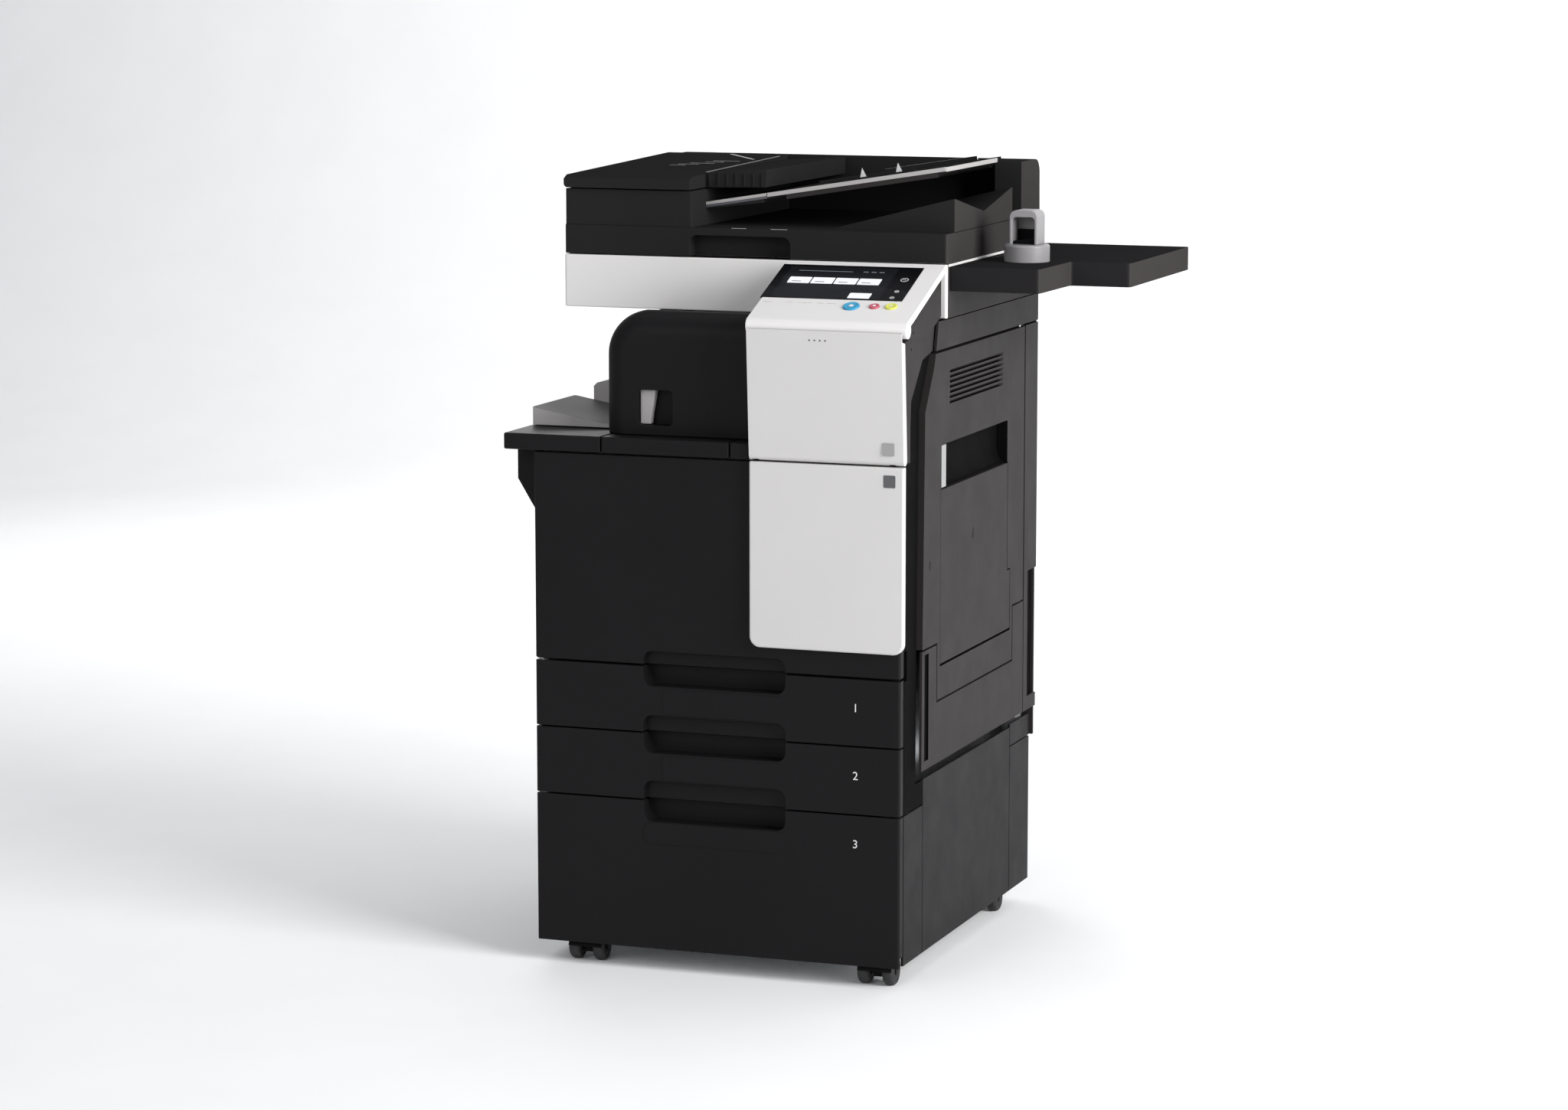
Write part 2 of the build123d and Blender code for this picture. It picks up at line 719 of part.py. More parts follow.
# ---- every node, moved to the part's origin and written ----
def all_nodes():
    nodes = {
        "cabinet_frame": cabinet_frame(),
        "cabinet_panels": cabinet_panels(),
        "drawer_rails": drawer_rails(),
        "body_frame": body_frame() + door_pins(),
        "rear_cover": rear_cover(),
        "left_cover": left_cover(),
        "right_covers": right_covers(),
        "exit_ledge": exit_ledge(),
        "scanner_housing": scanner_housing(),
        "scanner_front_cover": scanner_front_cover(),
        "platen_glass": platen_glass(),
        "adf_hinge_brackets": adf_hinge_brackets(),
        "power_inlet": power_inlet(),
        "toner_cartridges": toner_cartridges(),
        "drum_units": drum_units(),
        "transfer_belt": transfer_belt(),
        "fuser_unit": fuser_unit(),
        "working_table": working_table(),
        "finger_reader": finger_reader(),
        "cover_screws": cover_screws(),
        "front_door": front_door(),
        "front_door_trim": front_door_trim(),
        "upper_front_door": upper_front_door(),
        "panel_case": panel_case(),
        "touch_glass": touch_glass(),
        "right_door": right_door(),
        "bypass_tray": bypass_tray(),
        "adf_base": adf_base(),
        "adf_lid": adf_lid(),
        "feed_roller": feed_roller(),
        "document_tray": document_tray(),
        "document_guide_front": document_guide(True),
        "document_guide_back": document_guide(False),
        "scan_carriage": scan_carriage(),
        "finisher_housing": finisher_housing(),
        "output_tray": output_tray(),
    }
    for name in key_places:
        nodes[name + "_key"] = panel_key(name)
    for number in drawer_lines:
        nodes[f"drawer_{number}_front"] = drawer_front(number)
        nodes[f"drawer_{number}_tray"] = drawer_tray(number)
        nodes[f"drawer_{number}_lift_plate"] = lift_plate(number)
    for number in (1, 2):
        nodes[f"drawer_{number}_guide_front"] = side_guide(number, True)
        nodes[f"drawer_{number}_guide_back"] = side_guide(number, False)
    for place, (x, y) in caster_places.items():
        nodes["caster_fork_" + place] = caster_fork(x, y)
        nodes["caster_wheels_" + place] = caster_wheels(x, y)
    return nodes


def solids_of(shape):
    pieces = shape if isinstance(shape, list) else [shape]
    return [solid for piece in pieces for solid in piece.solids()]


def main():
    os.makedirs("parts", exist_ok=True)
    shift = Location((-origin_x, -origin_y, 0))
    for name, shape in all_nodes().items():
        moved = [solid.moved(shift) for solid in solids_of(shape)]
        export_step(Compound(children=moved), f"parts/{name}.step")
        print(name, len(moved))


main()
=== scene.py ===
import json
import math

import bmesh
import bpy
from mathutils import Matrix, Vector


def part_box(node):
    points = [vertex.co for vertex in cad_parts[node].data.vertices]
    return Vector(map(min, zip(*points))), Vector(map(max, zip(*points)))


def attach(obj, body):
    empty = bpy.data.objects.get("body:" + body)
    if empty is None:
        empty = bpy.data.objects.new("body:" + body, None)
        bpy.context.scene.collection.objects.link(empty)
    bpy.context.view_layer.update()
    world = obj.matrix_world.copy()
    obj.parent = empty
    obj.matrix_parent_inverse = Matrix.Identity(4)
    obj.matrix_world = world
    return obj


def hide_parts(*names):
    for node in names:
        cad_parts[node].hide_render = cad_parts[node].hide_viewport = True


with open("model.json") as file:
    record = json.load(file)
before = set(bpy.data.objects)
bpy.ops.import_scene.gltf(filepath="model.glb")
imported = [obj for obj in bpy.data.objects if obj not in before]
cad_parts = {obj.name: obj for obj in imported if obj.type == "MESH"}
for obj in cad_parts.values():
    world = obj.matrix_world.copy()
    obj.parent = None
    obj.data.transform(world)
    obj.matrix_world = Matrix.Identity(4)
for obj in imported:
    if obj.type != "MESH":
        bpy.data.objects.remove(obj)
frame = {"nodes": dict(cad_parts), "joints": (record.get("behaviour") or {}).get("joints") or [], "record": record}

scene = bpy.context.scene
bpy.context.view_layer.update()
joints = {joint["name"]: joint for joint in frame["joints"]}
doorLow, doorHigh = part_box("front_door")
middleX = (doorLow.x + doorHigh.x) / 2  # the drawer fronts' middle line
faceY = doorLow.y  # the drawer fronts' face


def spot(x, y, z):  # millimetres from the middle line, the drawer face and the floor
    return Vector((middleX + x / 1000, faceY + y / 1000, z / 1000))


print("frame loaded:", len(frame["nodes"]), "nodes")

# finishes


def newMaterial(name):
    material = bpy.data.materials.new(name)
    material.use_nodes = True
    shader = material.node_tree.nodes["Principled BSDF"]
    return material, material.node_tree, shader


def link(tree, source, sourceSocket, target, targetSocket):
    tree.links.new(source.outputs[sourceSocket], target.inputs[targetSocket])


def noise(tree, coordinates, scale, detail=2.0, roughness=0.5):
    node = tree.nodes.new("ShaderNodeTexNoise")
    node.inputs["Scale"].default_value = scale
    node.inputs["Detail"].default_value = detail
    node.inputs["Roughness"].default_value = roughness
    tree.links.new(coordinates, node.inputs["Vector"])
    return node


def spread(tree, source, low, high, fromLow=0.3, fromHigh=0.7):
    node = tree.nodes.new("ShaderNodeMapRange")
    node.inputs["From Min"].default_value = fromLow
    node.inputs["From Max"].default_value = fromHigh
    node.inputs["To Min"].default_value = low
    node.inputs["To Max"].default_value = high
    tree.links.new(source, node.inputs["Value"])
    return node.outputs["Result"]


def shade(colour, factor):
    return [min(1.0, channel * factor) for channel in colour] + [1.0]


def moulded(name, colour, roughness=0.42, grain=0.05, grainSize=1.1, patches=0.06, specular=0.16):
    # moulded plastic: spark-eroded grain, slow drift in colour, handled patches in the gloss
    material, tree, shader = newMaterial(name)
    coordinates = tree.nodes.new("ShaderNodeTexCoord").outputs["Object"]
    drift = noise(tree, coordinates, 5.0, 3.0)
    ramp = tree.nodes.new("ShaderNodeValToRGB")
    ramp.color_ramp.elements[0].position = 0.3
    ramp.color_ramp.elements[0].color = shade(colour, 1 - patches)
    ramp.color_ramp.elements[1].position = 0.7
    ramp.color_ramp.elements[1].color = shade(colour, 1 + patches)
    link(tree, drift, "Fac", ramp, "Fac")
    link(tree, ramp, "Color", shader, "Base Color")
    handled = noise(tree, coordinates, 17.0, 5.0, 0.6)
    gloss = spread(tree, handled.outputs["Fac"], roughness - 0.03, roughness + 0.05)
    tree.links.new(gloss, shader.inputs["Roughness"])
    pits = noise(tree, coordinates, 1000.0 / grainSize, 2.0, 0.65)
    bump = tree.nodes.new("ShaderNodeBump")
    bump.inputs["Strength"].default_value = 0.5
    bump.inputs["Distance"].default_value = grain / 1000
    link(tree, pits, "Fac", bump, "Height")
    link(tree, bump, "Normal", shader, "Normal")
    shader.inputs["Specular IOR Level"].default_value = specular
    return material


def brushedMetal(name, colour, roughness, stretch=(4.0, 260.0, 260.0)):
    # rolled sheet: long fine scratches along x and a mottled zinc bloom
    material, tree, shader = newMaterial(name)
    coordinates = tree.nodes.new("ShaderNodeTexCoord").outputs["Object"]
    mapping = tree.nodes.new("ShaderNodeMapping")
    mapping.inputs["Scale"].default_value = stretch
    tree.links.new(coordinates, mapping.inputs["Vector"])
    scratches = noise(tree, mapping.outputs["Vector"], 3.0, 4.0, 0.7)
    bloom = noise(tree, coordinates, 55.0, 3.0)
    ramp = tree.nodes.new("ShaderNodeValToRGB")
    ramp.color_ramp.elements[0].color = shade(colour, 0.82)
    ramp.color_ramp.elements[1].color = shade(colour, 1.12)
    link(tree, bloom, "Fac", ramp, "Fac")
    link(tree, ramp, "Color", shader, "Base Color")
    gloss = spread(tree, scratches.outputs["Fac"], roughness - 0.08, roughness + 0.12)
    tree.links.new(gloss, shader.inputs["Roughness"])
    bump = tree.nodes.new("ShaderNodeBump")
    bump.inputs["Strength"].default_value = 0.25
    bump.inputs["Distance"].default_value = 0.00003
    link(tree, scratches, "Fac", bump, "Height")
    link(tree, bump, "Normal", shader, "Normal")
    shader.inputs["Metallic"].default_value = 1.0
    return material


def rubberSkin(name, colour, roughness=0.75):
    # rubber: dusty, with a soft uneven sheen
    material, tree, shader = newMaterial(name)
    coordinates = tree.nodes.new("ShaderNodeTexCoord").outputs["Object"]
    dust = noise(tree, coordinates, 70.0, 4.0, 0.6)
    ramp = tree.nodes.new("ShaderNodeValToRGB")
    ramp.color_ramp.elements[0].position = 0.45
    ramp.color_ramp.elements[0].color = shade(colour, 1.0)
    ramp.color_ramp.elements[1].position = 0.75
    ramp.color_ramp.elements[1].color = shade(colour, 1.9)
    link(tree, dust, "Fac", ramp, "Fac")
    link(tree, ramp, "Color", shader, "Base Color")
    gloss = spread(tree, dust.outputs["Fac"], roughness - 0.08, roughness + 0.1)
    tree.links.new(gloss, shader.inputs["Roughness"])
    bump = tree.nodes.new("ShaderNodeBump")
    bump.inputs["Strength"].default_value = 0.4
    bump.inputs["Distance"].default_value = 0.00008
    link(tree, dust, "Fac", bump, "Height")
    link(tree, bump, "Normal", shader, "Normal")
    return material


def clearPane(name, colour):
    # float glass: near white with a green cast, faint smears in its gloss
    material, tree, shader = newMaterial(name)
    coordinates = tree.nodes.new("ShaderNodeTexCoord").outputs["Object"]
    smear = noise(tree, coordinates, 9.0, 5.0, 0.6)
    gloss = spread(tree, smear.outputs["Fac"], 0.02, 0.09)
    tree.links.new(gloss, shader.inputs["Roughness"])
    shader.inputs["Base Color"].default_value = colour + [1.0]
    shader.inputs["Transmission Weight"].default_value = 0.85
    shader.inputs["IOR"].default_value = 1.45
    return material


def lit(name, colour, strength):
    # a lit mark behind the panel glass, a little uneven as a back light is
    material, tree, shader = newMaterial(name)
    coordinates = tree.nodes.new("ShaderNodeTexCoord").outputs["Object"]
    uneven = noise(tree, coordinates, 60.0, 1.0)
    ramp = tree.nodes.new("ShaderNodeValToRGB")
    ramp.color_ramp.elements[0].color = shade(colour, 0.85)
    ramp.color_ramp.elements[1].color = shade(colour, 1.0)
    link(tree, uneven, "Fac", ramp, "Fac")
    link(tree, ramp, "Color", shader, "Base Color")
    link(tree, ramp, "Color", shader, "Emission Color")
    shader.inputs["Emission Strength"].default_value = strength
    shader.inputs["Roughness"].default_value = 0.3
    return material


finish = {
    "frontBlack": moulded("front_black", [0.0080, 0.0074, 0.0081], 0.48, 0.06, 1.2, 0.06, 0.1),
    "feederBlack": moulded("feeder_black", [0.0185, 0.0183, 0.0185], 0.6, 0.08, 1.3, 0.06, 0.0),
    "sideGrey": moulded("side_grey", [0.0240, 0.0216, 0.0210], 0.55, 0.09, 1.3, 0.06, 0.1),
    "cabinetGrey": moulded("cabinet_grey", [0.0072, 0.0067, 0.0075], 0.5, 0.05, 0.9, 0.06, 0.1),
    "coverWhite": moulded("cover_white", [0.70, 0.685, 0.675], 0.4, 0.04, 1.1, 0.02),
    "doorWhite": moulded("door_white", [0.565, 0.553, 0.548], 0.4, 0.04, 1.1, 0.02),
    # a lighter copy of the black plastic for faces turned to the right: painted light
    "paintedLitSide": moulded("painted_lit_side", [0.0400, 0.0370, 0.0365], 0.6, 0.08, 1.3, 0.06, 0.0),
    "tableBlack": moulded("table_black", [0.0185, 0.0175, 0.0185], 0.6, 0.07, 1.2, 0.06, 0.0),
    "trayGrey": moulded("tray_grey", [0.38, 0.365, 0.36], 0.5, 0.06, 1.1, 0.04),
    # a darker copy of the tray grey for the tray's upward faces: painted shade
    "trayTop": moulded("tray_top_shade", [0.155, 0.15, 0.15], 0.55, 0.06, 1.1, 0.04, 0.05),
    "readerGrey": moulded("reader_grey", [0.24, 0.232, 0.236], 0.34, 0.03, 0.9, 0.03, 0.3),
    "stripGrey": moulded("strip_grey", [0.30, 0.30, 0.30], 0.38, 0.03, 0.9, 0.04),
    "markLight": moulded("mark_light", [0.62, 0.62, 0.62], 0.5, 0.02, 0.8, 0.02),
    "markGrey": moulded("mark_grey", [0.10, 0.10, 0.105], 0.5, 0.02, 0.8, 0.02),
    "deepBlack": moulded("deep_black", [0.005, 0.005, 0.0055], 0.55, 0.04, 1.0, 0.06, 0.08),
    "shadowBlack": moulded("shadow_black", [0.003, 0.0028, 0.0028], 0.8, 0.04, 1.0, 0.05, 0.04),
    "padWhite": moulded("pad_white", [0.78, 0.78, 0.77], 0.6, 0.05, 0.7, 0.02),
    "tonerGrey": moulded("toner_grey", [0.09, 0.09, 0.10], 0.42, 0.05, 1.0),
    "panelGlass": moulded("panel_glass", [0.004, 0.004, 0.005], 0.16, 0.004, 9.0, 0.1, 0.04),
    "screenGlass": moulded("screen_glass", [0.009, 0.0095, 0.012], 0.16, 0.004, 9.0, 0.1, 0.04),
    "blueKey": moulded("blue_key", [0.045, 0.30, 0.50], 0.3, 0.02, 0.8, 0.05),
    "redKey": moulded("red_key", [0.48, 0.10, 0.14], 0.3, 0.02, 0.8, 0.05),
    "yellowKey": moulded("yellow_key", [0.62, 0.64, 0.12], 0.3, 0.02, 0.8, 0.05),
    "cyanCap": moulded("cyan_cap", [0.03, 0.30, 0.55], 0.4, 0.04, 1.0),
    "magentaCap": moulded("magenta_cap", [0.50, 0.04, 0.22], 0.4, 0.04, 1.0),
    "yellowCap": moulded("yellow_cap", [0.70, 0.55, 0.04], 0.4, 0.04, 1.0),
    "beltFilm": moulded("belt_film", [0.012, 0.011, 0.011], 0.16, 0.01, 1.0),
    "zincSteel": brushedMetal("zinc_steel", [0.56, 0.57, 0.58], 0.36),
    "darkSteel": moulded("dark_steel", [0.022, 0.022, 0.024], 0.38, 0.03, 0.5),
    "shaftSteel": brushedMetal("shaft_steel", [0.62, 0.62, 0.63], 0.24, (260.0, 260.0, 260.0)),
    "wheelRubber": rubberSkin("wheel_rubber", [0.016, 0.016, 0.017]),
    "rollerRubber": rubberSkin("roller_rubber", [0.03, 0.03, 0.034], 0.66),
    "clearGlass": clearPane("clear_glass", [0.86, 0.93, 0.90]),
    "litWhite": lit("lit_white", [0.82, 0.83, 0.84], 0.25),
    "litDim": lit("lit_dim", [0.13, 0.14, 0.15], 0.1),
}
slotOf = {row["node"]: row["material_slot"] for row in frame["record"]["subparts"]}
bodyOf = {node: body for body, nodes in frame["record"]["behaviour"]["bodies"].items() for node in nodes}
print("finishes made:", len(finish))

# mesh helpers


def pieceFrom(mesh, name, body, slotName, *materials):
    piece = bpy.data.objects.new(name, mesh)
    scene.collection.objects.link(piece)
    for material in materials:
        mesh.materials.append(material)
    if body:
        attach(piece, body)
    return piece


def settled(piece, modifiers):
    # works out the modifiers given as (type, settings) and leaves a plain mesh
    for kind, settings in modifiers:
        modifier = piece.modifiers.new(kind.lower(), kind)
        for setting, value in settings.items():
            setattr(modifier, setting, value)
    depsgraph = bpy.context.evaluated_depsgraph_get()
    mesh = bpy.data.meshes.new_from_object(piece.evaluated_get(depsgraph), depsgraph=depsgraph)
    piece.modifiers.clear()
    piece.data = mesh
    return piece


def softEdges(piece, width, segments=3, angle=32):
    for polygon in piece.data.polygons:
        polygon.use_smooth = True
    bevel = {"width": width / 1000, "segments": segments, "limit_method": "ANGLE",
             "angle_limit": math.radians(angle), "use_clamp_overlap": True, "miter_outer": "MITER_ARC"}
    weights = {"keep_sharp": True, "weight": 80, "mode": "FACE_AREA"}
    return settled(piece, [("BEVEL", bevel), ("WEIGHTED_NORMAL", weights)])


def dressed(node, material, width, segments=3, name=None, extra=(), paint=None):
    # a bevelled copy of a CAD node that stands for it; paint picks one of extra for a face centre
    mesh = frame["nodes"][node].data.copy()
    mesh.materials.clear()
    work = bmesh.new()
    work.from_mesh(mesh)
    bmesh.ops.remove_doubles(work, verts=work.verts, dist=0.000002)
    bmesh.ops.dissolve_limit(work, angle_limit=math.radians(1.0), verts=work.verts, edges=work.edges)
    for face in work.faces:
        face.material_index = paint(face.calc_center_median(), face.normal) if paint else 0
    work.to_mesh(mesh)
    work.free()
    piece = pieceFrom(mesh, name or node + "_moulding", None, None, material, *extra)
    softEdges(piece, width, segments)
    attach(piece, bodyOf[node])
    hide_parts(node)
    return piece


def emptyMesh(name):
    return bpy.data.meshes.new(name)


def meshFrom(name, build, recalculate=True):
    work = bmesh.new()
    build(work)
    if recalculate:
        bmesh.ops.recalc_face_normals(work, faces=work.faces)
    mesh = emptyMesh(name)
    work.to_mesh(mesh)
    work.free()
    return mesh


def addPrism(work, outline, offset):
    # closes an outline of points and its copy moved by offset into a solid
    low = [work.verts.new(point) for point in outline]
    high = [work.verts.new(Vector(point) + offset) for point in outline]
    work.faces.new(low)
    work.faces.new(list(reversed(high)))
    for index in range(len(outline)):
        after = (index + 1) % len(outline)
        work.faces.new((low[index], high[index], high[after], low[after]))


def roundedOutline(x0, x1, y0, y1, radius, steps=6):
    points = []
    corners = ((x1 - radius, y1 - radius, 0), (x0 + radius, y1 - radius, 90),
               (x0 + radius, y0 + radius, 180), (x1 - radius, y0 + radius, 270))
    for cx, cy, start in corners:
        for step in range(steps + 1):
            angle = math.radians(start + 90 * step / steps)
            points.append((cx + radius * math.cos(angle), cy + radius * math.sin(angle)))
    return points


def frontPlate(name, x0, x1, z0, z1, y0, y1, radius, body, material, width=0.4):
    # a plate with rounded corners that lies across the front, between depths y0 and y1
    outline = [spot(x, y1, z) for x, z in roundedOutline(x0, x1, z0, z1, radius)]
    mesh = meshFrom(name, lambda work: addPrism(work, outline, Vector((0, (y0 - y1) / 1000, 0))))
    piece = pieceFrom(mesh, name, None, None, material)
    softEdges(piece, width, 2)
    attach(piece, body)
    return piece


def addLathe(work, profile, base, axis, segments=40):
    # profile is (radius, height) in millimetres from the base point along the axis; ends close on it
    axis = Vector(axis).normalized()
    side = axis.orthogonal().normalized()
    other = axis.cross(side)
    rings = []
    for radius, height in profile:
        centre = Vector(base) + axis * height / 1000
        if radius < 0.001:
            rings.append([work.verts.new(centre)])
            continue
        ring = []
        for step in range(segments):
            angle = 2 * math.pi * step / segments
            offset = (side * math.cos(angle) + other * math.sin(angle)) * radius / 1000
            ring.append(work.verts.new(centre + offset))
        rings.append(ring)
    for low, high in zip(rings, rings[1:]):
        for step in range(segments):
            after = (step + 1) % segments
            corners = [low[step % len(low)], low[after % len(low)],
                       high[after % len(high)], high[step % len(high)]]
            corners = list(dict.fromkeys(corners))
            if len(corners) > 2:
                work.faces.new(corners)


def smoothed(piece, angle=35):
    for polygon in piece.data.polygons:
        polygon.use_smooth = True
    piece.data.set_sharp_from_angle(angle=math.radians(angle))
    return piece


# repeated shapes, by geometry nodes


def repeatTree(name, material):
    # instances of a template object along a line of points, with a second line for rows
    tree = bpy.data.node_groups.new(name, "GeometryNodeTree")
    tree.interface.new_socket("Geometry", in_out="INPUT", socket_type="NodeSocketGeometry")
    tree.interface.new_socket("Geometry", in_out="OUTPUT", socket_type="NodeSocketGeometry")
    inputs = {"Template": "Object", "Count": "Int", "Start": "Vector", "Step": "Vector", "Rows": "Int",
              "Row Step": "Vector"}
    for label, kind in inputs.items():
        tree.interface.new_socket(label, in_out="INPUT", socket_type="NodeSocket" + kind)
    nodes = tree.nodes
    given = nodes.new("NodeGroupInput")
    result = nodes.new("NodeGroupOutput")
    line = nodes.new("GeometryNodeMeshLine")
    rows = nodes.new("GeometryNodeMeshLine")
    place = nodes.new("GeometryNodeInstanceOnPoints")
    placeRows = nodes.new("GeometryNodeInstanceOnPoints")
    template = nodes.new("GeometryNodeObjectInfo")
    realize = nodes.new("GeometryNodeRealizeInstances")
    setMaterial = nodes.new("GeometryNodeSetMaterial")
    setMaterial.inputs["Material"].default_value = material
    link(tree, given, "Count", line, "Count")
    link(tree, given, "Start", line, "Start Location")
    link(tree, given, "Step", line, "Offset")
    link(tree, given, "Rows", rows, "Count")
    link(tree, given, "Row Step", rows, "Offset")
    link(tree, given, "Template", template, "Object")
    link(tree, line, "Mesh", place, "Points")
    link(tree, template, "Geometry", place, "Instance")
    link(tree, rows, "Mesh", placeRows, "Points")
    link(tree, place, "Instances", placeRows, "Instance")
    link(tree, placeRows, "Instances", realize, "Geometry")
    link(tree, realize, "Geometry", setMaterial, "Geometry")
    link(tree, setMaterial, "Geometry", result, "Geometry")
    return tree


def repeated(name, templateMesh, material, start, step, count, body, rows=1, rowStep=(0, 0, 0)):
    template = bpy.data.objects.new(name + "_template", templateMesh)
    scene.collection.objects.link(template)
    piece = bpy.data.objects.new(name, emptyMesh(name))
    scene.collection.objects.link(piece)
    tree = repeatTree(name + "_tree", material)
    modifier = piece.modifiers.new("repeat", "NODES")
    modifier.node_group = tree
    values = {"Template": template, "Count": count, "Start": tuple(start), "Step": tuple(step),
              "Rows": rows, "Row Step": tuple(rowStep)}
    sockets = {item.name: item.identifier for item in tree.interface.items_tree if item.in_out == "INPUT"}
    for label, value in values.items():
        modifier[sockets[label]] = value
    settled(piece, [])
    bpy.data.objects.remove(template)
    smoothed(piece)
    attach(piece, body)
    return piece


print("helpers ready")

# camera, floor and light
# the view is set from the middle of the footprint, in metres and degrees
cameraPlace = {"location": (2.132708, -6.181418, 1.559851), "pitch": 81.49, "turn": 19.93, "lens": 101.0}


def makeCamera():
    data = bpy.data.cameras.new("studio_camera")
    data.lens = cameraPlace["lens"]
    data.sensor_width = 36.0
    camera = bpy.data.objects.new("studio_camera", data)
    camera.location = cameraPlace["location"]
    camera.rotation_euler = (math.radians(cameraPlace["pitch"]), 0, math.radians(cameraPlace["turn"]))
    scene.collection.objects.link(camera)
    scene.camera = camera


def softLight(name, place, aim, size, power, colour=(1, 1, 1)):
    data = bpy.data.lights.new(name, "AREA")
    data.shape = "RECTANGLE"
    data.size = size[0]
    data.size_y = size[1]
    data.energy = power
    data.color = colour
    light = bpy.data.objects.new(name, data)
    light.location = place
    light.rotation_euler = (Vector(aim) - Vector(place)).to_track_quat("-Z", "Y").to_euler()
    scene.collection.objects.link(light)


def makeStudio():
    world = bpy.data.worlds.new("studio")
    world.use_nodes = True
    world.node_tree.nodes["Background"].inputs["Color"].default_value = (0.93, 0.95, 1.0, 1)
    world.node_tree.nodes["Background"].inputs["Strength"].default_value = 0.38
    scene.world = world
    softLight("right_window", (4.2, -1.6, 2.3), (0, 0, 0.7), (2.6, 2.6), 290)
    softLight("front_fill", (-1.2, -5.2, 2.6), (0, 0, 0.6), (3.0, 2.2), 62)
    softLight("top_box", (0.0, 0.2, 4.2), (0, 0, 0.4), (3.4, 3.4), 22)
    softLight("back_rim", (-2.6, 3.4, 2.6), (0, 0, 0.8), (2.0, 2.0), 35)
    softLight("backdrop_wash", (0.0, 3.2, 4.4), (0, 6.2, 1.2), (6.0, 1.4), 170)
    work = bmesh.new()
    sheet = {"halfWidth": 9.0, "front": -9.0, "back": 4.0, "curve": 2.2, "steps": 14, "wall": 6.0}
    profile = [(sheet["front"], 0.0)]
    for step in range(sheet["steps"] + 1):
        angle = math.radians(90 * step / sheet["steps"])
        across, up = sheet["curve"] * math.sin(angle), sheet["curve"] * (1 - math.cos(angle))
        profile.append((sheet["back"] + across, up))
    profile.append((sheet["back"] + sheet["curve"], sheet["wall"]))
    columns = []
    for y, z in profile:
        columns.append([work.verts.new((side * sheet["halfWidth"], y, z)) for side in (-1, 1)])
    for low, high in zip(columns, columns[1:]):
        work.faces.new((low[0], low[1], high[1], high[0]))
    mesh = emptyMesh("pale_floor")
    work.to_mesh(mesh)
    work.free()
    floor = bpy.data.objects.new("pale_floor", mesh)
    scene.collection.objects.link(floor)
    for polygon in mesh.polygons:
        polygon.use_smooth = True
    mesh.materials.append(moulded("floor_paper", [0.88, 0.88, 0.88], 0.8, 0.02, 2.0, 0.01))


makeCamera()
makeStudio()
scene.view_settings.view_transform = "Standard"
print("studio set")

# covers and shells carried over from the frame, with moulded edges
traySlope = math.radians(9.0)


darkRegions = {  # boxes of faces with another finish: the slot, the rear recess, the bypass window and the vent pocket get painted shade, the reader floor dark glass; x, y and z from and to
    "coverSlot": (286.5, 289.8, 87, 108, 321, 479),
    "rearRecess": (277, 282.3, 589, 646, 319, 541),
    "bypassWindow": (270.5, 289.7, 159, 508, 449, 776),
    "ventPocket": (270.5, 289.7, 199, 463, 830, 882),
    "readerFloor": (351.9, 386.1, 303, 333.5, 1058, 1067.5),
}
pillarRight = 282.3  # the front pillar ends here
carriageRods = {"y": (215, 570), "z": 990, "reach": 0.0045}


def within(centre, regionName):
    x0, x1, y0, y1, z0, z1 = darkRegions[regionName]
    low, high = spot(x0, y0, z0), spot(x1, y1, z1)
    return all(low[axis] < centre[axis] < high[axis] for axis in range(3))


def rightCoverPaint(centre, normal):
    # the front pillar is black plastic, painted darker still with the near-black finish as painted shade; the
    # covers behind and beside it grey; the slot and the rear recess get the same near-black finish as painted shade
    if within(centre, "coverSlot") or within(centre, "rearRecess"):
        return 2
    return 0 if centre.x < spot(pillarRight, 0, 0).x else 1


def doorPaint(centre, normal):
    # the faces inside the bypass window and the vent pocket get the near-black finish as painted shade
    return 1 if within(centre, "bypassWindow") or within(centre, "ventPocket") else 0


def scannerPaint(centre, normal):  # the carriage's rods are bare steel
    reach = carriageRods["reach"]
    inside = abs(centre.z - spot(0, 0, carriageRods["z"]).z) < reach and normal.x < 0.99
    rod = min(abs(centre.y - spot(0, y, 0).y) for y in carriageRods["y"]) < reach
    return 1 if inside and rod else 0


def readerPaint(centre, normal):
    return 1 if within(centre, "readerFloor") else 0


def tablePaint(centre, normal):  # the right-facing sides get the lighter copy of the black: painted light
    return 1 if normal.x > 0.6 else 0


def trayPaint(centre, normal):  # the tray's upward faces get a darker copy of its grey: painted shade
    return 1 if normal.z > 0.6 else 0


pressPad = {"left": -229, "right": 249, "front": 226, "back": 554, "top": 1040.2, "paintedLitSide": 288}


def feederPaint(centre, normal):  # the pressing pad is white; the right-facing side gets the lighter copy of the black: painted light
    if normal.x > 0.7 and centre.x > spot(pressPad["paintedLitSide"], 0, 0).x:
        return 2
    low = spot(pressPad["left"], pressPad["front"], 0)
    high = spot(pressPad["right"], pressPad["back"], pressPad["top"])
    pad = centre.z < high.z and low.x < centre.x < high.x
    return 1 if pad and low.y < centre.y < high.y else 0


guideMark = {"line": 262, "half": 0.00215, "faceLow": 0.0025, "tipLow": 0.0075, "trayTop": 0.0048}


def guidePaint(centre, normal):
    # the pointed marks on the front paper guide are light
    tray = joints["document_tray_hinge"]["pos_m"]
    rise = centre.z - tray[2] - guideMark["trayTop"]
    height = rise * math.cos(traySlope) - (centre.x - tray[0]) * math.sin(traySlope)
    beside = abs(centre.y - spot(0, guideMark["line"], 0).y) > guideMark["half"]
    return 1 if height > guideMark["tipLow"] or beside and height > guideMark["faceLow"] else 0


